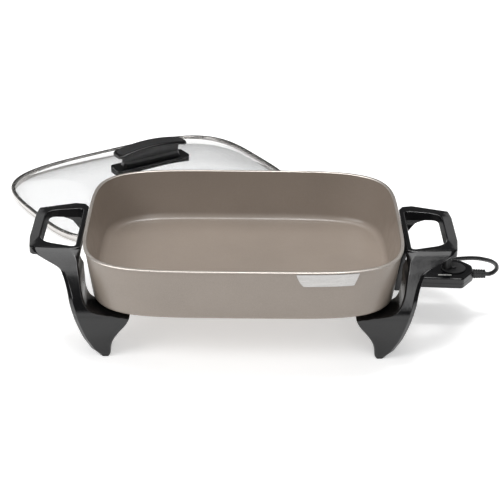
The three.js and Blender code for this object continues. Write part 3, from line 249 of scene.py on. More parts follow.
# Cord, coil, tie and plug
CORD_RADIUS = 0.0029
COIL_RADIUS = 0.028
COIL_PITCH = 0.0064
COIL_INSET = 0.051
COIL_BEHIND = 0.064
COIL_TURNS = 3.5
COIL_STEPS = 24
PLUG_LEAD = 0.014
TIE_THICKNESS = 0.0005
TIE_WIDTH = 0.007
TIE_SHARE = 0.75
PLUG_LENGTH = 0.030
PLUG_HALF_WIDTH = 0.012
PLUG_NECK_HALF_WIDTH = 0.004
PLUG_STEPS = 8
# Rows: share of the neck's length and of its thickness; distance before the end and inset
PLUG_NECK_ROWS = [(0, 0.9), (0.3, 1), (0.9, 1)]
PLUG_END_ROWS = [(0.0015, 0), (0.0004, 0.0005), (0, 0.0016)]
BLADE_SPACING = 0.0127
PRONG_HEIGHT = 0.0064
PRONG_THICKNESS = 0.0015
PRONG_DEPTH = 0.006
# Rows: share of the way from the strain relief to the coil, in each axis
CORD_ROWS = [
    (0, 0, 0), (-0.032, 0, 0), (-0.061, 0.016, -0.002),
    (-0.086, 0.045, 0), (-0.105, 0.085, 0.018), (-0.116, 0.133, 0.043),
    (-0.119, 0.181, 0.072), (-0.113, 0.227, 0.105), (-0.1, 0.272, 0.144),
    (-0.08, 0.316, 0.189), (-0.054, 0.36, 0.242), (-0.019, 0.406, 0.3),
    (0.016, 0.447, 0.365), (0.055, 0.485, 0.433), (0.095, 0.52, 0.507),
    (0.139, 0.557, 0.589), (0.185, 0.595, 0.682), (0.235, 0.635, 0.78),
    (0.291, 0.678, 0.867), (0.353, 0.723, 0.936), (0.428, 0.774, 0.982),
    (0.515, 0.824, 0.998), (0.621, 0.893, 1), (0.739, 0.958, 1),
    (0.87, 1, 1), (1, 1, 1),
]

# Cover
LID_INSET = 0.0585
LID_BEHIND = 0.2255
LID_TURN = math.radians(33.3)
LID_MARGIN = 0.002
LID_SQUARENESS = 3.65
LID_RIM = 0.0124
LID_SHEET = 0.0009
LID_RIM_COVER = 0.0055
RIM_SHOULDER = 0.0004
RIM_BEVEL = 0.0003
RIM_CREST = 0.0012
RIM_FOOT_ROUND = 0.0007
SKIRT_ROUND = 0.0006
SKIRT_INSET = 0.0042
SKIRT_HEIGHT = 0.0064
GLASS_THICKNESS = 0.0036
GLASS_FLAT = 0.008
DOME_RISE = 0.0355
DOME_STEPS = 28
HANDLE_HALF_LENGTH = 0.0625
HANDLE_HALF_WIDTH = 0.015
FOOT_THICKNESS = 0.0028
FOOT_RADIUS = 0.005
WEB_HALF_LENGTH = 0.050
WEB_HALF_WIDTH = 0.008
WEB_WAIST = 0.002
WEB_HEIGHT = 0.0167
# Rows: share of the height, and inset
WEB_ROWS = [(0, 0), (0.35, WEB_WAIST), (0.55, WEB_WAIST), (1, 0)]
CAP_HALF_LENGTH = 0.059
CAP_HALF_WIDTH = 0.0145
CAP_THICKNESS = 0.005
CAP_END_RADIUS = 0.007
CAP_ARCH = 0.007
CAP_EDGE = 0.0008
CAP_STEPS = 36
INSERT_THICKNESS = 0.002
INSERT_MARGIN = 0.0035
INSERT_EDGE = 0.0003
CUTTER_EDGE = 0.0002
GASKET_THICKNESS = 0.001
LID_SCREW_X = 0.038
LID_SCREW_RADIUS = 0.002
LID_SCREW_REACH = 0.016
NODE_EDGE = 0.0002

# Floor and light
FLOOR_HALF_WIDTH = 6
FLOOR_DEPTH = 0.02
FLOOR_DROP = 0.0001
FLOOR_COLOUR = (0.9, 0.9, 0.9)
FLOOR_ROUGHNESS = 0.6
FLOOR_GLOW = 0.47
WORLD_GLOW = 0.08
# Rows: name, width and height, watts, and place and target from the middle of the pan
LIGHTS = [
    ("overhead", (2, 1.6), 29, (-0.2, 0.89, 2.15), (0, 0.1, 0)),
    ("edge", (0.5, 0.3), 10, (0.1, 0.4, 2.3), (0, 0, 0)),
    ("key", (1.6, 1.4), 32, (-1.7, -1.15, 1.9), (0, 0, 0.05)),
    ("front_right", (0.6, 4.6), 22, (0.52, -1.4, 2.05), (0.22, 0, 0.1)),
    ("back", (0.9, 1.2), 1.5, (-1.25, 1.8, 0.8), (0, 0, 0.1)),
    ("back", (0.9, 1.2), 1.5, (1.25, 1.8, 0.8), (0, 0, 0.1)),
]

# Finishes: a tint with its factor on the colour, a gloss with its spread of roughness, and reliefs with
# their depth, each followed by its patches in a metre and, where not usual, octaves and their share
GLOSS_PLASTIC = [(1.35, 35, 4), (0.05, 60, 4, 0.6), (0.00006, 420, 2), (0.00002, 2600, 2)]
SATIN_PLASTIC = [(1.5, 300, 5), (0.07, 90, 4), (0.00006, 2400)]
COATING = [(0.9, 14), (0.05, 45, 5, 0.6), (0.00005, 900), (0.00012, 110, 2)]
METAL = [(0.86, 700, 4, 0.6), (0.08, 520, 3, 0.6), (0.00002, 900, 3, 0.6)]
RUBBER = [(1.6, 120, 4), (0.08, 200), (0.00008, 1800, 2)]
CERAMIC = [(0.9, 260, 4), (0.08, 400), (0.0001, 1500)]
LENS = [(0.85, 240), (0.05, 120, 2)]
GLASS_GLOSS = (0.015, 25)
PAPER_GLOSS = (0.05, 3)
NOISE_LOW = 0.3
NOISE_HIGH = 0.7
LEAST_ROUGHNESS = 0.02
FLECK = (0.42, 0.37, 0.32)
FLECKS = (0.35, 1500, 2, 0.6)
COAT = 0.25
DUST = 0.004
GLASS_IOR = 1.48
GLASS_WAVES = (18, 2)
GLASS_WAVE_DEPTH = 0.00015
GLASS_WAVE_STRENGTH = 0.4
LENS_RIBS = 260
LENS_RIB_DEPTH = 0.0001
LENS_MILK = 0.25
LENS_MILK_RADIUS = (0.002, 0.002, 0.002)

# Heights and places that follow
PAN_BASE = PAN_RIM - PAN_DEPTH
LIP_BOTTOM = PAN_RIM - LIP_DROP
PAN_FLOOR_TOP = PAN_BASE + PAN_FLOOR
FRAME_INNER = PAN_HALF_LENGTH + FRAME_GAP
SHELF_HEIGHT = PAN_BASE - SHELF_DROP
SHELF_BOTTOM = SHELF_HEIGHT - SHELF_THICKNESS
FRAME_TOP = PAN_RIM - GRIP_DROP
LOOP_BOTTOM = FRAME_TOP - LOOP_THICKNESS
GUARD_BOTTOM = PAN_BASE - GUARD_DROP
LEG_SCREW_X = PAN_HALF_LENGTH - LEG_SCREW_INSET
LEG_SCREW_SIDE = STANCE * LEG_SCREW_SHARE
PIN_SIDE = PIN_SPACING / 2
PIN_HEIGHT = PAN_BASE - PIN_DROP
ELEMENT_HEIGHT = PAN_BASE - SEAT - ELEMENT_RADIUS
CASE_INNER = FRAME_INNER + CASE_GAP
CASE_OUTER = CASE_INNER + CASE_LENGTH
CASE_BOTTOM = PIN_HEIGHT - CASE_HEIGHT / 2
CASE_TOP = PIN_HEIGHT + CASE_HEIGHT / 2
CASE_FLOOR = CASE_BOTTOM + CASE_WALL
CASE_CEILING = CASE_TOP - CASE_WALL
CASE_SCREW_X = CASE_INNER + CASE_SCREW_INSET
NOSE_BOTTOM = CASE_FLOOR + SEAT
NOSE_TOP = CASE_CEILING - SEAT
DIAL_X = CASE_OUTER - DIAL_INSET
LENS_X = CASE_INNER + CASE_LENGTH * LENS_SHARE
LENS_Y = LENS_INSET - CASE_HALF_WIDTH
RELIEF_END = CASE_OUTER + SEAT + RELIEF_LENGTH
COIL_X = PAN_HALF_LENGTH - COIL_INSET
COIL_Y = PAN_HALF_DEPTH + COIL_BEHIND
COIL_LOW = TIE_THICKNESS + SEAT + CORD_RADIUS
COIL_HIGH = COIL_LOW + COIL_PITCH
COIL_OUTER = COIL_RADIUS + COIL_PITCH * COIL_TURNS / 4
LID_HALF_LENGTH = PAN_HALF_LENGTH - LID_MARGIN
LID_HALF_DEPTH = PAN_HALF_DEPTH - LID_MARGIN
DOME_TOP = LID_RIM - LID_SHEET - SEAT + DOME_RISE
FOOT_BOTTOM = DOME_TOP + GASKET_THICKNESS + SEAT
FOOT_TOP = FOOT_BOTTOM + FOOT_THICKNESS
WEB_TOP = FOOT_TOP + WEB_HEIGHT

pan_low, pan_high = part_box("pan")
PAN_MIDDLE = Vector(((pan_low.x + pan_high.x) / 2, (pan_low.y + pan_high.y) / 2, 0))
LID_MIDDLE = PAN_MIDDLE + Vector((LID_INSET - PAN_HALF_LENGTH, PAN_HALF_DEPTH + LID_BEHIND, 0))
TO_PAN = Matrix.Translation(PAN_MIDDLE)
TO_LID = Matrix.Translation(LID_MIDDLE) @ Matrix.Rotation(LID_TURN, 4, "Z")


# Shape helpers


def superellipse(half_x, half_y, power, steps=192):
    angle = np.arange(steps) / steps * 2 * math.pi
    c, s = np.cos(angle), np.sin(angle)
    x = half_x * np.sign(c) * np.abs(c) ** (2 / power)
    y = half_y * np.sign(s) * np.abs(s) ** (2 / power)
    return np.stack([x, y], 1)


def rounded_rectangle(low, high, radius, steps=8):
    """A rectangle from low to high with its corners rounded."""
    radius = min(radius, (high[0] - low[0]) / 2, (high[1] - low[1]) / 2)
    corners = [
        (high[0] - radius, high[1] - radius),
        (low[0] + radius, high[1] - radius),
        (low[0] + radius, low[1] + radius),
        (high[0] - radius, low[1] + radius),
    ]
    points = []
    for quarter, (x, y) in enumerate(corners):
        for i in range(steps + 1):
            angle = (quarter + i / steps) * math.pi / 2
            points.append((x + radius * math.cos(angle), y + radius * math.sin(angle)))
    return np.array(points)


def centred_rectangle(middle, half, radius, steps=8):
    low = (middle[0] - half[0], middle[1] - half[1])
    high = (middle[0] + half[0], middle[1] + half[1])
    return rounded_rectangle(low, high, radius, steps)


def bend(start, corner, end, steps):
    """Points of a curve that leaves start towards a corner and comes to end from it."""
    along = [k / steps for k in range(steps + 1)]
    return [start * (1 - t) ** 2 + corner * 2 * t * (1 - t) + end * t**2 for t in along]


def rounded_outline(corners, steps=10):
    """An outline through corners, each with its own radius."""
    points = []
    for i, (x, y, radius) in enumerate(corners):
        corner = Vector((x, y))
        before = (Vector(corners[i - 1][:2]) - corner).normalized()
        after = (Vector(corners[(i + 1) % len(corners)][:2]) - corner).normalized()
        reach = radius / math.tan(math.acos(before.dot(after)) / 2)
        points += bend(corner + before * reach, corner, corner + after * reach, steps)
    return np.array([tuple(p) for p in points])


def drawn_in(outline, inset):
    """Moves each side of a convex outline in by an inset."""
    before = outline - np.roll(outline, 1, axis=0)
    after = np.roll(outline, -1, axis=0) - outline
    before /= np.linalg.norm(before, axis=1)[:, None]
    after /= np.linalg.norm(after, axis=1)[:, None]
    along = before + after
    along /= np.linalg.norm(along, axis=1)[:, None]
    reach = inset / np.sum(along * before, axis=1)
    return outline + np.stack([-along[:, 1] * reach, along[:, 0] * reach], 1)


def rounded_corner(radius, steps):
    """Rows of inset and rise round a corner, from the flat face up to the wall."""
    angles = [i / steps * math.pi / 2 for i in range(steps + 1)]
    return [(radius * (1 - math.sin(a)), radius * (1 - math.cos(a))) for a in angles]


def ease(t):
    return t * t * (3 - 2 * t)


def ring_at(outline, z):
    """A plan outline raised to a height."""
    return np.column_stack([outline, np.full(len(outline), z)])


def ring_across(outline, x):
    """An outline in Y and Z, set at a place along X."""
    return np.column_stack([np.full(len(outline), x), outline])


def mesh_from(points, faces):
    """A mesh whose faces point out."""
    mesh = bpy.data.meshes.new("shape")
    mesh.from_pydata([tuple(p) for p in points], [], [tuple(f) for f in faces])
    made = bmesh.new()
    made.from_mesh(mesh)
    bmesh.ops.remove_doubles(made, verts=made.verts, dist=WELD)
    bmesh.ops.recalc_face_normals(made, faces=made.faces)
    made.to_mesh(mesh)
    made.free()
    return mesh


def side_faces(size, pairs):
    """The faces between pairs of rings of so many points each."""
    faces = []
    for low, high in pairs:
        for i in range(size):
            after = (i + 1) % size
            faces.append((low * size + i, low * size + after, high * size + after, high * size + i))
    return faces


def loft(rings):
    """A closed solid through rings of as many points each."""
    size, count = len(rings[0]), len(rings)
    faces = side_faces(size, zip(range(count - 1), range(1, count)))
    faces.append(tuple(range(size))[::-1])
    faces.append(tuple(range((count - 1) * size, count * size)))
    return mesh_from(np.concatenate(rings), faces)


def band(rings):
    """A section swept round an outline and joined to its own start."""
    count = len(rings)
    faces = side_faces(len(rings[0]), [(row, (row + 1) % count) for row in range(count)])
    return mesh_from(np.concatenate(rings), faces)


def prism(outline, low, high):
    return loft([ring_at(outline, low), ring_at(outline, high)])


def block(low, high):
    outline = np.array([(low[0], low[1]), (high[0], low[1]), (high[0], high[1]), (low[0], high[1])])
    return prism(outline, low[2], high[2])


def disc(radius, sides=48):
    angle = np.arange(sides) / sides * 2 * math.pi
    return np.stack([radius * np.cos(angle), radius * np.sin(angle)], 1)


def rod(middle, low, high, radius):
    return prism(disc(radius) + np.array(middle), low, high)


def lathe(profile):
    """A solid turned about Z from rows of radius and height that start and end on the axis."""
    return loft([ring_at(disc(max(r, AXIS_RADIUS), 96), z) for r, z in profile])


def spline(rows, steps):
    """Smooth rows between given ones, Catmull-Rom by their first value."""
    rows = np.array(rows, float)
    knots = rows[:, 0]
    slopes = np.gradient(rows, knots, axis=0)
    out = []
    for t in np.linspace(knots[0], knots[-1], steps):
        i = min(int(np.searchsorted(knots, t, side="right")) - 1, len(knots) - 2)
        span = knots[i + 1] - knots[i]
        u = (t - knots[i]) / span
        near = (2 * u**3 - 3 * u**2 + 1) * rows[i] + (u**3 - 2 * u**2 + u) * span * slopes[i]
        far = (-2 * u**3 + 3 * u**2) * rows[i + 1] + (u**3 - u**2) * span * slopes[i + 1]
        out.append(near + far)
    return out


def tube(name, radius, kind, count):
    """A round tube along a line of so many knots, which are still to be placed."""
    curve = bpy.data.curves.new(name, "CURVE")
    curve.dimensions = "3D"
    curve.bevel_depth = radius
    curve.bevel_resolution = 6
    curve.resolution_u = 5
    curve.use_fill_caps = True
    line = curve.splines.new(kind)
    knots = line.bezier_points if kind == "BEZIER" else line.points
    knots.add(count - 1)
    return curve, knots


def linked(name, data):
    made = bpy.data.objects.new(name, data)
    bpy.context.scene.collection.objects.link(made)
    return made


def put(name, shape, place=TO_PAN):
    """A piece with its shape moved to its place."""
    shape.name = name
    shape.transform(place)
    return linked(name, shape)


def settle(piece):
    """Applies a piece's modifiers to its mesh."""
    graph = bpy.context.evaluated_depsgraph_get()
    mesh = bpy.data.meshes.new_from_object(piece.evaluated_get(graph))
    piece.modifiers.clear()
    piece.data = mesh


def combined(mesh, others, how):
    """A mesh joined with others or cut by them."""
    base = put("base", mesh.copy(), Matrix())
    for other in others:
        tool = put("tool", other.copy(), Matrix())
        step = base.modifiers.new("step", "BOOLEAN")
        step.operation = how
        step.solver = "MANIFOLD"
        step.object = tool
        settle(base)
        bpy.data.objects.remove(tool)
    made = base.data
    bpy.data.objects.remove(base)
    return made


def joined(*meshes):
    return combined(meshes[0], meshes[1:], "UNION")


def cut(mesh, *others):
    return combined(mesh, others, "DIFFERENCE")


def mirrored(mesh, axis):
    made = mesh.copy()
    made.transform(Matrix.Scale(-1, 4, axis))
    made.flip_normals()
    return made


def smooth_edges(piece, sharp):
    """Smooth shading with the edges over an angle kept, and flat faces kept flat."""
    piece.data.shade_smooth()
    piece.data.set_sharp_from_angle(angle=math.radians(sharp))
    step = piece.modifiers.new("flat", "WEIGHTED_NORMAL")
    step.keep_sharp = True
    return piece


def rounded_edges(piece, width, segments=3, angle=35):
    """Rounds a piece's edges with a bevel."""
    step = piece.modifiers.new("round", "BEVEL")
    step.width = width
    step.segments = segments
    step.limit_method = "ANGLE"
    step.angle_limit = math.radians(angle)
    return smooth_edges(piece, 60)


def dress(piece, body, slot, *replaced):
    """Gives a piece its material, its body and the solids that it takes the place of."""
    piece.data.materials.clear()
    piece.data.materials.append(materials[slot])
    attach(piece, body)
    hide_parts(*replaced)
    return piece


def finished(name, mesh, body, slot, *replaced, sharp=40):
    """A mesh made into a smooth piece of its body."""
    place = TO_LID if body == "cover" else TO_PAN
    return dress(smooth_edges(put(name, mesh, place), sharp), body, slot, *replaced)


# Materials


class Nodes:
    """A material under construction, with short calls for its nodes."""

    def __init__(self, name, colour, roughness, metallic=0):
        self.material = bpy.data.materials.new(name)
        self.material.use_nodes = True
        self.tree = self.material.node_tree
        self.shader = self.tree.nodes["Principled BSDF"]
        self.set("Base Color", (*colour, 1))
        self.set("Roughness", roughness)
        self.set("Metallic", metallic)
        self.colour = colour
        self.roughness = roughness
        self.place = self.tree.nodes.new("ShaderNodeTexCoord").outputs["Object"]

    def set(self, socket, value):
        self.shader.inputs[socket].default_value = value

    def link(self, output, socket):
        self.tree.links.new(output, socket)

    def add(self, kind, place=None, **values):
        """A node with its sockets set by name, in which an underscore stands for a space."""
        node = self.tree.nodes.new("ShaderNode" + kind)
        for socket, value in values.items():
            node.inputs[socket.replace("_", " ")].default_value = value
        if place:
            self.link(place, node.inputs["Vector"])
        return node

    def stretch(self, scale):
        """Scales the patterns that follow, by axis."""
        self.place = self.add("Mapping", self.place, Scale=scale).outputs["Vector"]

    def noise(self, scale, detail=3, roughness=0.5):
        node = self.add("TexNoise", self.place, Scale=scale, Detail=detail, Roughness=roughness)
        return node.outputs["Fac"]

    def ranged(self, value, low, high):
        """A value's middle part, spread from low to high."""
        node = self.add("MapRange", From_Min=NOISE_LOW, From_Max=NOISE_HIGH, To_Min=low, To_Max=high)
        self.link(value, node.inputs["Value"])
        return node.outputs["Result"]

    def blend(self, other, share, *pattern):
        """Mixes the colour towards another by up to a share."""
        node = self.tree.nodes.new("ShaderNodeMix")
        node.data_type = "RGBA"
        node.inputs["A"].default_value = (*self.colour, 1)
        node.inputs["B"].default_value = (*other, 1)
        base = self.shader.inputs["Base Color"]
        if base.is_linked:
            self.link(base.links[0].from_socket, node.inputs["A"])
        self.link(self.ranged(self.noise(*pattern), 0, share), node.inputs["Factor"])
        self.link(node.outputs["Result"], base)

    def gloss(self, spread, *pattern):
        low = max(self.roughness - spread, LEAST_ROUGHNESS)
        value = self.ranged(self.noise(*pattern), low, self.roughness + spread)
        self.link(value, self.shader.inputs["Roughness"])

    def bump(self, value, depth, strength=1):
        node = self.add("Bump", Strength=strength, Distance=depth)
        self.link(value, node.inputs["Height"])
        normal = self.shader.inputs["Normal"]
        if normal.is_linked:
            self.link(normal.links[0].from_socket, node.inputs["Normal"])
        self.link(node.outputs["Normal"], normal)

    def finish(self, tint, gloss, *reliefs, dust=0):
        """Adds a tint, a spread of the gloss and reliefs, each from its own pattern."""
        factor, *pattern = tint
        self.blend([c * factor + dust for c in self.colour], 1, *pattern)
        self.gloss(*gloss)
        for depth, *pattern in reliefs:
            self.bump(self.noise(*pattern), depth)
        return self.material


def gloss_plastic(name, colour, roughness, shine):
    """Moulded black plastic: a faint orange peel, and flow marks in its gloss."""
    made = Nodes(name, colour, roughness)
    made.set("Specular IOR Level", shine)
    return made.finish(*GLOSS_PLASTIC)


def satin_plastic(name, colour, roughness):
    """Black plastic with a fine spark-eroded grain."""
    return Nodes(name, colour, roughness).finish(*SATIN_PLASTIC)


def coating(name, colour, roughness):
    """Non-stick coating: fine flecks, cloudy sheen and a slightly uneven spray."""
    made = Nodes(name, colour, roughness)
    made.finish(*COATING)
    made.blend(FLECK, *FLECKS)
    made.set("Coat Weight", COAT)
    made.set("Coat Roughness", COAT)
    return made.material


def metal(name, colour, roughness, grain=(1, 1, 1)):
    """Bare metal with a brushed grain that runs along the axis of the smallest scale."""
    made = Nodes(name, colour, roughness, 1)
    made.stretch(grain)
    return made.finish(*METAL)


def rubber(name, colour, roughness):
    """Cord jacket and gaskets: matt with a fine pebble and a dusty cast."""
    return Nodes(name, colour, roughness).finish(*RUBBER, dust=DUST)


def clear_glass(name, colour, roughness):
    """Tempered glass: clear, with the faint waves of the press."""
    made = Nodes(name, colour, roughness)
    made.set("Transmission Weight", 1)
    made.set("IOR", GLASS_IOR)
    made.gloss(*GLASS_GLOSS)
    made.bump(made.noise(*GLASS_WAVES), GLASS_WAVE_DEPTH, GLASS_WAVE_STRENGTH)
    return made.material


def ceramic(name, colour, roughness):
    """Unglazed insulator, slightly rough and cloudy."""
    return Nodes(name, colour, roughness).finish(*CERAMIC)


def lens_plastic(name, colour, roughness):
    """Milky lens over the lamp, with fine ribs across it."""
    made = Nodes(name, colour, roughness)
    ribs = made.add("TexWave", made.place, Scale=LENS_RIBS)
    ribs.bands_direction = "X"
    made.bump(ribs.outputs["Fac"], LENS_RIB_DEPTH)
    made.set("Subsurface Weight", LENS_MILK)
    made.set("Subsurface Radius", LENS_MILK_RADIUS)
    return made.finish(*LENS)


# Rows: kind, name, colour, roughness, and the shine or the scale of the grain by axis
FINISHES = [
    (coating, "pan_coating", (0.26, 0.218, 0.183), 0.38),
    # The inside's own glossier coat, its colour made paler than the outside's as painted light on the
    # inside walls
    (coating, "pan_inside", (0.28, 0.229, 0.19), 0.33),
    # Pale metal along the lip's top: a painted highlight of the lip's bright line
    (metal, "pan_lip", (0.78, 0.72, 0.66), 0.35),
    (metal, "polished_steel", (0.48, 0.47, 0.46), 0.3, (0.05, 1, 1)),
    (metal, "steel", (0.56, 0.55, 0.53), 0.34),
    (metal, "rim_steel", (0.62, 0.6, 0.58), 0.24, (0.15, 0.15, 1)),
    (ceramic, "ceramic", (0.8, 0.76, 0.68), 0.6),
    (metal, "aluminium", (0.6, 0.6, 0.59), 0.42, (1, 0.2, 1)),
    (gloss_plastic, "gloss_black", (0.004, 0.004, 0.0045), 0.16, 0.55),
    # Darker, barely reflective copy of the gloss black for the finger hole's walls: painted shade
    (gloss_plastic, "dull_black", (0.003, 0.003, 0.0035), 0.4, 0.08),
    (satin_plastic, "satin_black", (0.012, 0.012, 0.0125), 0.42),
    (clear_glass, "glass", (0.93, 0.933, 0.935), 0.02),
    (rubber, "silicone", (0.02, 0.02, 0.02), 0.62),
    (rubber, "cord_rubber", (0.007, 0.007, 0.0075), 0.34),
    (metal, "brass", (0.62, 0.46, 0.24), 0.3, (1, 0.2, 1)),
    (satin_plastic, "lamp", (0.7, 0.3, 0.16), 0.2),
    (lens_plastic, "lens", (0.66, 0.66, 0.63), 0.22),
]
materials = {name: kind(name, *rest) for kind, name, *rest in FINISHES}


# Camera


def make_camera():
    data = bpy.data.cameras.new("camera")
    data.lens = LENS_MM
    camera = linked("camera", data)
    turns = [(AZIMUTH, "Z"), (math.pi / 2 - ELEVATION, "X"), (ROLL, "Z")]
    place = Matrix.Translation(PAN_MIDDLE + TARGET)
    for angle, axis in turns:
        place = place @ Matrix.Rotation(angle, 4, axis)
    camera.matrix_world = place @ Matrix.Translation((0, 0, DISTANCE))
    bpy.context.scene.camera = camera


# Cord, coil, tie and plug


def cord_points():
    """The cord's centreline from the strain relief, through the coil, to the plug."""
    start = np.array((RELIEF_END + SEAT, 0, PIN_HEIGHT))
    end = np.array((COIL_X + 2 * CORD_RADIUS + SEAT, COIL_Y - COIL_OUTER, COIL_LOW))
    points = [start + (end - start) * np.array(row) for row in CORD_ROWS]
    total = COIL_TURNS * 2 * math.pi
    reverse = total / 2
    steps = round(COIL_TURNS * COIL_STEPS)
    for i in range(steps + 1):
        angle = i / steps * total
        from_reverse = abs(angle - reverse) / (2 * math.pi)
        radius = COIL_OUTER - COIL_PITCH * (COIL_TURNS / 2 - from_reverse)
        climb = ease(min(max((angle - reverse) / math.pi + 0.5, 0), 1))
        x, y = COIL_X - radius * math.sin(angle), COIL_Y - radius * math.cos(angle)
        points.append(np.array((x, y, COIL_LOW + climb * COIL_PITCH)))
    last = points[-1].copy()
    last[0] = COIL_X + PLUG_LEAD
    points.append(last)
    return [Vector(p) for p in points]


def make_cord():
    """One tube along the whole centreline."""
    points = cord_points()
    curve, knots = tube("cord_flex", CORD_RADIUS, "BEZIER", len(points))
    for i, point in enumerate(points):
        before, after = points[max(i - 1, 0)], points[min(i + 1, len(points) - 1)]
        along = (after - before).normalized()
        knots[i].co = point
        knots[i].handle_left = point - along * (point - before).length / 3
        knots[i].handle_right = point + along * (after - point).length / 3
    cord = dress(put("cord_flex", curve), "control", "cord_rubber", "cord", "cord_coil")
    lengths = [(b - a).length for a, b in zip(points, points[1:])]
    return cord, PAN_MIDDLE + points[0], sum(lengths)


def make_plug():
    y = COIL_Y + COIL_OUTER
    start = COIL_X + PLUG_LEAD + SEAT
    neck = PLUG_LENGTH / 3
    end = start + PLUG_LENGTH
    thin = PLUG_NECK_HALF_WIDTH

    def ring(x, half, corner):
        return ring_across(centred_rectangle((y, COIL_HIGH), half, corner), x)

    rings = [ring(start + neck * along, (thin * size, thin * size), thin) for along, size in PLUG_NECK_ROWS]
    for i in range(PLUG_STEPS + 1):
        widened = ease(i / PLUG_STEPS)
        half_width = thin + (PLUG_HALF_WIDTH - thin) * widened
        half_height = thin + (COIL_HIGH - thin) * widened
        x = start + neck + neck * i / PLUG_STEPS
        rings.append(ring(x, (half_width, half_height), half_height * (1 - widened / 2)))
    for before, inset in PLUG_END_ROWS:
        rings.append(ring(end - before, (PLUG_HALF_WIDTH - inset, COIL_HIGH - inset), COIL_HIGH / 2))
    slots = []
    wide, high = PRONG_THICKNESS / 2 + SEAT, PRONG_HEIGHT / 2 + SEAT
    for middle in (y - BLADE_SPACING / 2, y + BLADE_SPACING / 2):
        low = (end - PRONG_DEPTH, middle - wide, COIL_HIGH - high)
        slots.append(block(low, (end + OVERRUN, middle + wide, COIL_HIGH + high)))
    return finished("plug_body", cut(loft(rings), *slots), "control", "cord_rubber", "plug")


def make_tie():
    middle = COIL_X - COIL_OUTER + COIL_PITCH * TIE_SHARE
    height = (COIL_LOW + COIL_HIGH) / 2
    half = COIL_PITCH / 2 + CORD_RADIUS + SEAT
    rings = []
    for along, extra in [(-1, 0), (-1, 1), (1, 1), (1, 0)]:
        size = half + TIE_THICKNESS * extra
        outline = centred_rectangle((middle, height), (size + SEAT, size), CORD_RADIUS)
        y = np.full(len(outline), COIL_Y + along * TIE_WIDTH / 2)
        rings.append(np.column_stack([outline[:, 0], y, outline[:, 1]]))
    return finished("cord_tie_band", band(rings), "control", "silicone", "cord_tie")


# Pan


def wall_inset(z):
    """How far the outer wall stands inside the rim's outline at a height."""
    low = PAN_BASE + BASE_RADIUS
    return PAN_TAPER + (z - low) / (LIP_BOTTOM - low) * (LIP_OVERHANG - PAN_TAPER)


def pan_ring(inset, z):
    return ring_at(superellipse(PAN_HALF_LENGTH - inset, PAN_HALF_DEPTH - inset, PAN_SQUARENESS), z)


def pan_profile():
    """Rows of inset and height from the base, over the lip, down to the inner floor."""
    rows = [(PAN_TAPER + inset, PAN_BASE + rise) for inset, rise in rounded_corner(BASE_RADIUS, 8)]
    rows += [(LIP_OVERHANG, LIP_BOTTOM), (LIP_OVERHANG / 3, LIP_BOTTOM), (0, LIP_BOTTOM + LIP_OVERHANG / 3)]
    lip = rounded_corner(LIP_ROUND, 4)
    rows += [(inset, PAN_RIM - drop) for inset, drop in lip[::-1]]
    rows += [(LIP_OVERHANG + PAN_WALL - inset, PAN_RIM - drop) for inset, drop in lip]
    inner = rounded_corner(INNER_RADIUS, 8)[::-1]
    rows += [(PAN_TAPER + PAN_WALL + inset, PAN_FLOOR_TOP + rise) for inset, rise in inner]
    return rows


def pan_material(middle, normal):
    """Which material a face of the pan has: 0 outside, 1 on the lip, whose pale metal is a painted
    highlight, and 2 inside, whose own coat is made paler as painted light.
    """
    if middle.z > PAN_RIM - LIP_HIGHLIGHT_DEPTH and normal.z > -STEEP:
        return 1
    faces_in = normal.x * middle.x + normal.y * middle.y < 0
    return 2 if middle.z > PAN_BASE + PAN_FLOOR / 2 and (normal.z > STEEP or faces_in) else 0


def make_pan():
    """The pan as one closed shell, its lip in pale metal as a painted highlight and its inside in its own
    glossier coat, made paler as painted light.
    """
    shell = loft([pan_ring(inset, z) for inset, z in pan_profile()])
    sides = (-LEG_SCREW_SIDE, LEG_SCREW_SIDE)
    places = [(x, y) for x in (-LEG_SCREW_X, LEG_SCREW_X) for y in sides]
    low, high = SHELF_HEIGHT + SEAT, PAN_BASE + PAN_FLOOR / 2
    bosses = [rod(place, low, high, BOSS_RADIUS) for place in places]
    low, high = SHELF_HEIGHT - OVERRUN, PAN_FLOOR_TOP - PAN_FLOOR / 3
    bores = [rod(place, low, high, LEG_SCREW_RADIUS + SEAT) for place in places]
    mesh = cut(joined(shell, *bosses), *bores)
    pan = finished("pan_shell", mesh, "base", "pan_coating", "pan", sharp=50)
    # The lip's pale metal band is a painted highlight
    pan.data.materials.append(materials["pan_lip"])
    # The inside's coat is paler than the outside's as painted light
    pan.data.materials.append(materials["pan_inside"])
    for face in pan.data.polygons:
        face.material_index = pan_material(face.center - PAN_MIDDLE, face.normal)


def front_wall(x, z):
    inset = wall_inset(z)
    share = abs(x / (PAN_HALF_LENGTH - inset)) ** PAN_SQUARENESS
    return -(PAN_HALF_DEPTH - inset) * (1 - share) ** (1 / PAN_SQUARENESS)


def make_plate():
    start = PAN_HALF_LENGTH * PLATE_SHARE
    rings = []
    for i in range(PLATE_COLUMNS + 1):
        back, front = [], []
        for drop, left, right in spline(PLATE_ROWS, 12):
            x = start + PLATE_WIDTH * (left + (right - left) * i / PLATE_COLUMNS)
            z = LIP_BOTTOM - PLATE_DROP - drop * PLATE_HEIGHT
            back.append((x, front_wall(x, z) - SEAT, z))
            front.append((x, front_wall(x, z) - SEAT - PLATE_THICKNESS, z))
        rings.append(np.array(back + front[::-1]))
    plate = rounded_edges(put("plate", loft(rings)), PLATE_EDGE, angle=50)
    dress(plate, "base", "polished_steel", "name_plate")


# Side frames


def frame_x(share):
    return FRAME_INNER + share * (FRAME_TUCK if share < 0 else FRAME_REACH)


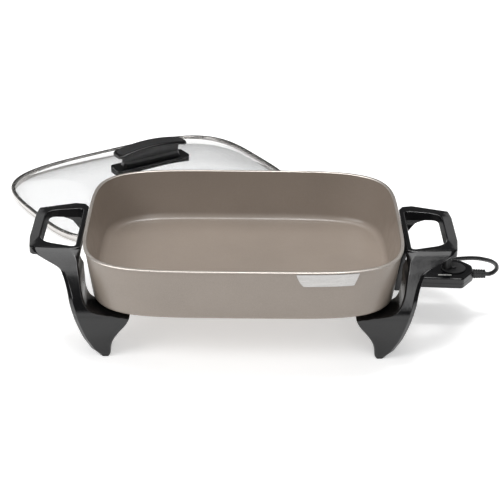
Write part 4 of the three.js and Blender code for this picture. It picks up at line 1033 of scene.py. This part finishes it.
def leg_ring(z, inner, outer, front, rear, lean=0):
    """A leg's section: round edges, a wide outer bevel, and near the grip a face that turns inwards."""
    low, high = frame_x(inner), frame_x(outer)
    front, rear = front * STANCE, rear * STANCE
    bevel = min(FRAME_BEVEL, (high - low) / 3)
    edge = min(FRAME_EDGE, (high - low) / 8)
    near_grip = max((z - ARM_TURN_START) / (FRAME_TOP - ARM_TURN_START), 0) ** 3
    turn, skew = edge + ARM_TURN * near_grip, ARM_SKEW * near_grip
    corners = [
        (low + lean * FRAME_REACH, rear, edge),
        (high, rear, edge),
        (high, front - bevel - skew, edge),
        (high - bevel, front - skew, edge),
        (low + turn, front, edge / 2),
        (low, front - turn, edge / 2),
    ]
    return ring_at(rounded_outline(corners, CORNER_STEPS), z)


def foot_hollow():
    rings = []
    for up, inner, outer, front, rear in spline(FOOT_ROWS, FOOT_STEPS):
        low = (frame_x(inner) + FRAME_SKIN, rear * STANCE - OVERRUN)
        high = (frame_x(outer) - FRAME_SKIN, front * STANCE - FRAME_SKIN)
        rings.append(ring_at(rounded_rectangle(low, high, FRAME_SKIN, 3), up * SHELF_HEIGHT))
    reach = block((frame_x(-1), 0, FOOT_SOLE), (frame_x(1), STANCE, SHELF_BOTTOM))
    return combined(loft(rings), [reach], "INTERSECT")


def shelf_bevel():
    front, rear = STANCE + OVERRUN, STANCE - SHELF_BEVEL_DEPTH
    slope = SHELF_BEVEL_DROP / SHELF_BEVEL_DEPTH
    rings = []
    for share, depth in SHELF_BEVEL_ROWS:
        outline = [
            (rear, SHELF_HEIGHT),
            (front, SHELF_HEIGHT - slope * (front - rear) * depth),
            (front, SHELF_HEIGHT + OVERRUN),
            (rear, SHELF_HEIGHT + OVERRUN),
        ]
        rings.append(ring_across(np.array(outline), frame_x(share)))
    return loft(rings)


def make_loop():
    """The grip's plank: round edges, and a top that falls from its crest at the hole to the sides."""
    plan = [(frame_x(row[0]), row[1] * LOOP_HALF_WIDTH, row[2]) for row in LOOP_CORNERS]
    crest = [(frame_x(row[4]), row[5] * LOOP_HALF_WIDTH, LOOP_ROUND) for row in LOOP_CORNERS]
    drops = np.repeat([row[3] for row in LOOP_CORNERS], CORNER_STEPS + 1)
    outline = rounded_outline(plan, CORNER_STEPS)
    lower, upper = [], []
    for inset, up in rounded_corner(LOOP_ROUND, 5):
        edge = drawn_in(outline, inset)
        lower.append(ring_at(edge, LOOP_BOTTOM + up))
        upper.append(ring_at(edge, FRAME_TOP - drops - up))
    top = ring_at(rounded_outline(crest, CORNER_STEPS), FRAME_TOP)
    plank = loft(lower + upper[::-1] + [top])
    x, z = frame_x(1), LOOP_BOTTOM
    under = [
        (x + OVERRUN, z + LOOP_UNDER_ROUND),
        (x + OVERRUN, z - OVERRUN),
        (x - LOOP_UNDER_ROUND, z - OVERRUN),
    ]
    under += [(x - inset, z + up) for inset, up in rounded_corner(LOOP_UNDER_ROUND, 6)]
    sides = [np.array([(x, side, z) for x, z in under]) for side in (-STANCE, STANCE)]
    return cut(plank, loft(sides))


def above_grip():
    """What lies over the grip's sloping edge and trims the arms."""
    inner, outer, high = frame_x(0), frame_x(1) + OVERRUN, FRAME_TOP + OVERRUN
    low, outer_low = FRAME_TOP - LOOP_CORNERS[0][3], FRAME_TOP - LOOP_CORNERS[3][3]
    section = [(inner, low), (outer, outer_low), (outer, high), (inner, high)]
    return loft([np.array([(x, y, z) for x, z in section]) for y in (0, STANCE)])


def loop_hole():
    """The finger hole: it narrows downwards, opens softly at the top and undercuts the rear bar."""
    inner, outer = FRAME_INNER + INNER_BAR, FRAME_INNER + FRAME_REACH - OUTER_BAR

    def ring(down, flare, z):
        taper = HOLE_TAPER * down
        wide = HOLE_HALF_WIDTH - taper + flare
        narrow = HOLE_OUTER_HALF_WIDTH - taper + flare
        near, far = inner + taper / 2 - flare, outer - taper + flare
        corners = [
            (near, -wide, HOLE_CORNER + flare),
            (far, HOLE_FRONT_NARROW - narrow, HOLE_FRONT_CORNER + flare),
            (far, narrow + (HOLE_TAPER + HOLE_REAR_WIDEN) * down, HOLE_OUTER_CORNER * (1 - down / 2)),
            (near, wide, HOLE_CORNER + flare),
        ]
        return ring_at(rounded_outline(corners, 12), z)

    rings = [ring(1, 0, LOOP_BOTTOM - LOOP_THICKNESS), ring(1, 0, LOOP_BOTTOM)]
    for below, flare in rounded_corner(HOLE_ROUND, 5):
        rings.append(ring(below / LOOP_THICKNESS, flare, FRAME_TOP - below))
    rings.append(ring(0, HOLE_ROUND, FRAME_TOP + OVERRUN))
    return loft(rings)


def guard_wall():
    half = (GUARD_THICKNESS / 2, GUARD_HALF_WIDTH)
    x = FRAME_INNER - GUARD_THICKNESS / 2
    rows = [(x, GUARD_BOTTOM), (x, PAN_BASE), (x + GUARD_LEAN, LOOP_BOTTOM + LOOP_THICKNESS / 2)]
    return loft([ring_at(centred_rectangle((x, 0), half, FRAME_EDGE, 3), z) for x, z in rows])


def nose_opening():
    half = NOSE_HALF_WIDTH + NOSE_ROOM
    return block(
        (FRAME_INNER - GUARD_THICKNESS - OVERRUN, -half, NOSE_BOTTOM - NOSE_ROOM),
        (FRAME_INNER + GUARD_LEAN + OVERRUN, half, NOSE_TOP + NOSE_ROOM),
    )


def lines_hole(middle, normal):
    """True for a face of the finger hole's wall, which gets painted shade."""
    out = abs(middle.x) - FRAME_INNER
    within_x = INNER_BAR / 2 < out < FRAME_REACH - OUTER_BAR + HOLE_ROUND
    within_y = abs(middle.y) < HOLE_HALF_WIDTH + HOLE_ROUND
    return within_x and within_y and middle.z > LOOP_BOTTOM and normal.z < STEEP


def make_frames():
    rise = FRAME_TOP - SHELF_HEIGHT
    rows = [(row[0] * SHELF_HEIGHT, *row[1:]) for row in spline(FOOT_ROWS, FOOT_STEPS)]
    rows[-1] = (SHELF_HEIGHT - SHELF_EDGE, *rows[-1][1:])
    rows += [(SHELF_HEIGHT + row[0] * rise, *row[1:]) for row in spline(ARM_ROWS, ARM_STEPS)]
    leg = cut(loft([leg_ring(*row) for row in rows]), shelf_bevel(), foot_hollow(), above_grip())
    whole = cut(joined(make_loop(), leg, mirrored(leg, (0, 1, 0))), loop_hole())
    for y in (-LEG_SCREW_SIDE, LEG_SCREW_SIDE):
        bore = rod((LEG_SCREW_X, y), SHELF_BOTTOM - OVERRUN, PAN_BASE, LEG_SCREW_RADIUS + SEAT)
        whole = cut(whole, bore)
    guarded = cut(joined(whole, guard_wall()), nose_opening())
    for side, mesh in [("right", guarded), ("left", mirrored(whole, (1, 0, 0)))]:
        piece = finished("frame_" + side, mesh, "base", "gloss_black", "side_frame_" + side, sharp=32)
        # The finger hole's walls take the darker, barely reflective black: painted shade in the hole
        piece.data.materials.append(materials["dull_black"])
        for face in piece.data.polygons:
            face.material_index = int(lines_hole(face.center - PAN_MIDDLE, face.normal))


# Cover


def lid_outline(inset, share=1.0):
    power = 2 + (LID_SQUARENESS - 2) * share
    return superellipse((LID_HALF_LENGTH - inset) * share, (LID_HALF_DEPTH - inset) * share, power)


def dome_height(share):
    edge = 1 - GLASS_FLAT / LID_HALF_LENGTH
    return DOME_TOP - DOME_RISE * min(share / edge, 1) ** 2


def dome(offset):
    """The glass, thicker by an offset on both sides."""
    inset = LID_SHEET + SEAT
    shares = [math.sin(i / DOME_STEPS * math.pi / 2) for i in range(1, DOME_STEPS + 1)]
    below = [ring_at(lid_outline(inset, s), dome_height(s) - GLASS_THICKNESS - offset) for s in shares]
    above = [ring_at(lid_outline(inset, s), dome_height(s) + offset) for s in shares[::-1]]
    return loft(below + above)


def lid_bores(low, high, radius):
    return [rod((x, 0), low, high, radius) for x in (-LID_SCREW_X, LID_SCREW_X)]


def make_glass():
    mesh = cut(dome(0), *lid_bores(0, DOME_TOP + OVERRUN, LID_SCREW_RADIUS + SLIP))
    finished("cover_glass", mesh, "cover", "glass", "lid_glass", sharp=35)


def make_rim():
    floor = SKIRT_HEIGHT + LID_SHEET
    top = LID_RIM - LID_SHEET
    section = [
        (SKIRT_INSET, 0),
        (SKIRT_INSET, SKIRT_HEIGHT - SKIRT_ROUND),
        (SKIRT_INSET - SKIRT_ROUND, SKIRT_HEIGHT),
        (RIM_FOOT_ROUND, SKIRT_HEIGHT),
        (0, SKIRT_HEIGHT + RIM_FOOT_ROUND),
        (0, top - RIM_SHOULDER),
        (RIM_SHOULDER, LID_RIM - RIM_BEVEL),
        (RIM_CREST, LID_RIM),
        (LID_RIM_COVER - RIM_BEVEL, LID_RIM),
        (LID_RIM_COVER, LID_RIM - RIM_BEVEL),
        (LID_RIM_COVER, top),
        (LID_SHEET, top),
        (LID_SHEET, floor),
        (SKIRT_INSET + LID_SHEET, floor),
        (SKIRT_INSET + LID_SHEET, 0),
    ]
    rings = [ring_at(lid_outline(inset), z) for inset, z in section]
    finished("cover_rim", band(rings), "cover", "rim_steel", "lid_rim", sharp=50)


def foot_outline():
    return centred_rectangle((0, 0), (HANDLE_HALF_LENGTH, HANDLE_HALF_WIDTH), FOOT_RADIUS)


def make_gasket():
    low, top = DOME_TOP - DOME_RISE / 4, FOOT_BOTTOM - SEAT
    bores = lid_bores(0, top + OVERRUN, LID_SCREW_RADIUS + SLIP)
    mesh = cut(prism(foot_outline(), low, top), dome(SEAT), *bores)
    made = bmesh.new()
    made.from_mesh(mesh)
    below = [v for v in made.verts if v.co.z < low + SLIP]
    bmesh.ops.delete(made, geom=below, context="VERTS")
    made.to_mesh(mesh)
    made.free()
    finished("cover_gasket", mesh, "cover", "silicone", "lid_gasket")


def cap_height(x):
    return WEB_TOP + SEAT + CAP_ARCH * (1 - (x / CAP_HALF_LENGTH) ** 2)


def arched_bar(margin, low, high, corner):
    """A bar along the cap's arch, inside the cap's plan by a margin."""
    half_length, half_width = CAP_HALF_LENGTH - margin, CAP_HALF_WIDTH - margin
    rings = []
    for i in range(CAP_STEPS + 1):
        x = -half_length * math.cos(math.pi * i / CAP_STEPS)
        from_end = min(half_length - abs(x), CAP_END_RADIUS)
        less = CAP_END_RADIUS - math.sqrt(CAP_END_RADIUS**2 - (CAP_END_RADIUS - from_end) ** 2)
        middle = cap_height(x) + (low + high) / 2
        outline = centred_rectangle((0, middle), (half_width - less, (high - low) / 2), corner)
        rings.append(ring_across(outline, x))
    return loft(rings)


def make_handle_body():
    reach = CAP_ARCH + WEB_HEIGHT
    start = FOOT_TOP - FOOT_THICKNESS / 2
    rings = []
    for up, inset in spline(WEB_ROWS, 16):
        half = (WEB_HALF_LENGTH - inset, WEB_HALF_WIDTH - inset)
        z = start + up * (reach + FOOT_THICKNESS / 2)
        rings.append(ring_at(centred_rectangle((0, 0), half, WEB_HALF_WIDTH / 2), z))
    web = cut(loft(rings), arched_bar(-OVERRUN, 0, reach, CUTTER_EDGE))
    bores = lid_bores(FOOT_BOTTOM - OVERRUN, FOOT_BOTTOM + LID_SCREW_REACH, LID_SCREW_RADIUS + SEAT)
    mesh = cut(joined(prism(foot_outline(), FOOT_BOTTOM, FOOT_TOP), web), *bores)
    finished("handle_body", mesh, "cover", "gloss_black", "lid_handle_body", sharp=32)


def make_handle_cap():
    """The arched cap and the textured insert in its pocket."""
    low = CAP_THICKNESS - INSERT_THICKNESS
    pocket = arched_bar(INSERT_MARGIN, low, CAP_THICKNESS + OVERRUN, CUTTER_EDGE)
    cap = cut(arched_bar(0, SEAT, CAP_THICKNESS, CAP_THICKNESS / 2), pocket)
    insert = arched_bar(INSERT_MARGIN + SEAT, low + SEAT, CAP_THICKNESS + SEAT, SEAT)
    rows = [("cap", cap, CAP_EDGE, "gloss_black"), ("insert", insert, INSERT_EDGE, "satin_black")]
    for name, mesh, edge, slot in rows:
        piece = rounded_edges(put("handle_" + name, mesh, TO_LID), edge)
        dress(piece, "cover", slot, "lid_handle_" + name)


# Heat control


def case_outline(inset):
    corners = [
        (CASE_INNER + along * CASE_LENGTH, across * CASE_HALF_WIDTH, turn * CASE_HALF_WIDTH)
        for along, across, turn in CASE_CORNERS
    ]
    return drawn_in(rounded_outline(corners), inset)


def relief_ring(x, half):
    return ring_across(centred_rectangle((0, PIN_HEIGHT), half, half[1] / 2), x)


def case_half(outer_z, seam_z, ceiling, inward):
    """One half of the case: rounded at its outer face, hollow, open at the seam."""
    rows = rounded_corner(CASE_ROUND, 6)
    rings = [ring_at(case_outline(inset), outer_z + inward * rise) for inset, rise in rows]
    rings.append(ring_at(case_outline(0), seam_z))
    hollow = prism(case_outline(CASE_WALL), ceiling, seam_z + inward * OVERRUN)
    ends = (CASE_OUTER - CASE_WALL - OVERRUN, CASE_OUTER + OVERRUN)
    neck = loft([relief_ring(x, RELIEF_ROOT - RELIEF_NECK + SEAT) for x in ends])
    nose = block(
        (CASE_INNER - OVERRUN, -NOSE_HALF_WIDTH - SEAT, NOSE_BOTTOM - SEAT),
        (CASE_INNER + CASE_WALL + SEAT, NOSE_HALF_WIDTH + SEAT, NOSE_TOP + SEAT),
    )
    return cut(loft(rings), hollow, neck, nose)


def lens_outline(extra):
    half = (LENS_HALF_LENGTH + extra, LENS_HALF_WIDTH + extra)
    return centred_rectangle((LENS_X, LENS_Y), half, LENS_HALF_WIDTH)


def make_case():
    base = case_half(CASE_BOTTOM, PIN_HEIGHT - SEAT / 2, CASE_FLOOR, 1)
    cover = case_half(CASE_TOP, PIN_HEIGHT + SEAT / 2, CASE_CEILING, -1)
    low, high = CASE_CEILING - OVERRUN, CASE_TOP + OVERRUN
    shaft = rod((DIAL_X, 0), low, high, SHAFT_RADIUS + SLIP)
    cover = cut(cover, shaft, prism(lens_outline(SEAT), low, high))
    below = CASE_BOTTOM - OVERRUN
    head_top = CASE_BOTTOM + CASE_SCREW_HEAD + 2 * SEAT
    bore = CASE_SCREW_RADIUS + SEAT
    for y in (-CASE_SCREW_SIDE, CASE_SCREW_SIDE):
        centre = (CASE_SCREW_X, y)
        head = rod(centre, below, head_top, CASE_SCREW_HEAD_RADIUS + SEAT)
        base = cut(base, head, rod(centre, below, CASE_FLOOR + OVERRUN, bore))
        boss = rod(centre, CASE_FLOOR + SEAT, CASE_CEILING + CASE_WALL / 2, CASE_BOSS_RADIUS)
        thread = rod(centre, CASE_FLOOR - OVERRUN, CASE_CEILING - CASE_WALL, bore)
        cover = joined(cover, cut(boss, thread))
    for half, mesh in [("base", base), ("cover", cover)]:
        finished("case_" + half, mesh, "control", "gloss_black", "control_" + half, sharp=35)


def make_lens():
    rings = [ring_at(lens_outline(0), CASE_CEILING), ring_at(lens_outline(0), CASE_TOP)]
    for drop, inset in rounded_corner(LENS_RISE, 4)[1:]:
        rings.append(ring_at(lens_outline(-2 * inset), CASE_TOP + LENS_RISE - drop))
    finished("lens", loft(rings), "control", "lens", "indicator_lens", sharp=50)


def make_dial():
    """A low disc with the tall pointer of its grip on one side."""
    bottom = CASE_TOP + SEAT
    top = bottom + DIAL_RISE
    bore = SHAFT_RADIUS + SEAT
    shaft_top = bottom + DIAL_HEIGHT - DIAL_CROWN
    cap = bore + DIAL_CROWN
    profile = [(0, shaft_top + SEAT), (bore, shaft_top + SEAT), (bore, bottom)]
    profile.append((DIAL_RADIUS - DIAL_ROUND, bottom))
    profile += [(DIAL_RADIUS - inset, bottom + rise) for inset, rise in rounded_corner(DIAL_ROUND, 4)]
    profile += [(DIAL_RADIUS - inset, top - drop) for inset, drop in rounded_corner(DIAL_ROUND, 5)[::-1]]
    crown = shaft_top + DIAL_CROWN
    profile += [(cap, top), (cap, shaft_top + SEAT), (bore, crown), (0, crown)]

    def pointer_ring(inset, z):
        half = POINTER_HALF_WIDTH - inset
        low = (DIAL_CROWN - DIAL_RADIUS + inset, -half)
        return ring_at(rounded_rectangle(low, (POINTER_NOSE - inset, half), half, 12), z)

    crest = bottom + DIAL_HEIGHT + POINTER_HEIGHT
    rings = [pointer_ring(0, bottom + DIAL_ROUND)]
    for inset, drop in rounded_corner(POINTER_ROUND, 5)[::-1]:
        rings.append(pointer_ring(POINTER_DRAFT + inset, crest - drop))
    mesh = joined(lathe(profile), loft(rings))
    mesh.transform(Matrix.Translation((DIAL_X, 0, 0)))
    finished("dial_knob", mesh, "dial", "satin_black", "control_dial")


def make_relief():
    """The strain relief: a flange inside, a neck through the wall and a ribbed taper outside."""
    flange_end = CASE_OUTER - CASE_WALL - 2 * SEAT
    neck_half = RELIEF_ROOT - RELIEF_NECK
    flange_half = (RELIEF_FLANGE_HALF_WIDTH, CASE_HEIGHT / 2 - CASE_WALL - SEAT)
    start = CASE_OUTER + SEAT
    rings = [
        relief_ring(flange_end - RELIEF_FLANGE, flange_half),
        relief_ring(flange_end, flange_half),
        relief_ring(flange_end, neck_half),
        relief_ring(start, neck_half),
    ]
    for i in range(RELIEF_STEPS + 1):
        along = i / RELIEF_STEPS
        half = RELIEF_ROOT + (RELIEF_TIP - RELIEF_ROOT) * along
        ribbed = RELIEF_MARGIN < along < 1 - RELIEF_MARGIN
        phase = (along * (RELIEF_RIBS + 1)) % 1
        groove = RELIEF_GROOVE if ribbed and phase < RELIEF_GROOVE_SHARE else 0
        rings.append(relief_ring(start + along * RELIEF_LENGTH, half - groove))
    finished("relief", loft(rings), "control", "cord_rubber", "strain_relief", sharp=50)


# Heating element


def make_element():
    half_length, half_depth = PAN_HALF_LENGTH - ELEMENT_END_MARGIN, PAN_HALF_DEPTH - ELEMENT_SIDE_MARGIN
    half = [
        Vector((PAN_HALF_LENGTH - ELEMENT_INSET, -PIN_SIDE, PIN_HEIGHT)),
        Vector((half_length, -PIN_SIDE, ELEMENT_HEIGHT)),
        Vector((half_length, -half_depth, ELEMENT_HEIGHT)),
        Vector((-half_length, -half_depth, ELEMENT_HEIGHT)),
    ]
    corners = half + [Vector((p.x, -p.y, p.z)) for p in half[::-1]]
    points = [corners[0]]
    for last, corner, after in zip(corners, corners[1:], corners[2:]):
        start = corner + (last - corner).normalized() * ELEMENT_BEND
        end = corner + (after - corner).normalized() * ELEMENT_BEND
        points += bend(start, corner, end, 12)
    points.append(corners[-1])
    curve, knots = tube("element", ELEMENT_RADIUS, "POLY", len(points))
    for knot, point in zip(knots, points):
        knot.co = (*point, 1)
    dress(put("element", curve), "base", "steel", "heating_element")


# Nodes that keep their solids


def finish_nodes():
    """Gives the small solids that stay their material and rounded edges."""
    slot_of = {row["node"]: row["material_slot"] for row in frame["record"]["subparts"]}
    for name, piece in nodes.items():
        if piece.hide_render:
            continue
        piece.data.materials.clear()
        piece.data.materials.append(materials[slot_of[name]])
        rounded_edges(piece, NODE_EDGE, 2, 40)


# Floor and light


def make_floor():
    low = (-FLOOR_HALF_WIDTH, -FLOOR_HALF_WIDTH, -FLOOR_DEPTH)
    floor = put("floor", block(low, (FLOOR_HALF_WIDTH, FLOOR_HALF_WIDTH, -FLOOR_DROP)), Matrix())
    made = Nodes("floor_paper", FLOOR_COLOUR, FLOOR_ROUGHNESS)
    made.gloss(*PAPER_GLOSS)
    made.set("Emission Color", (1, 1, 1, 1))
    made.set("Emission Strength", FLOOR_GLOW)
    floor.data.materials.append(made.material)


def make_light(name, size, watts, place, target):
    data = bpy.data.lights.new(name, "AREA")
    data.shape = "RECTANGLE"
    data.size, data.size_y = size
    data.energy = watts
    light = linked(name, data)
    light.location = PAN_MIDDLE + Vector(place)
    aim = Vector(target) - Vector(place)
    light.rotation_mode = "QUATERNION"
    light.rotation_quaternion = aim.to_track_quat("-Z", "Y")


def make_world():
    world = bpy.data.worlds.new("world")
    bpy.context.scene.world = world
    world.use_nodes = True
    background = world.node_tree.nodes["Background"]
    background.inputs["Color"].default_value = (1, 1, 1, 1)
    background.inputs["Strength"].default_value = WORLD_GLOW


make_camera()
cord, cord_exit, cord_length = make_cord()
plug = make_plug()
tie = make_tie()
make_pan()
make_plate()
make_frames()
make_element()
make_glass()
make_rim()
make_gasket()
make_handle_body()
make_handle_cap()
make_case()
make_lens()
make_dial()
make_relief()
finish_nodes()
make_floor()
make_world()
for row in LIGHTS:
    make_light(*row)
bpy.context.scene.view_settings.view_transform = "Standard"
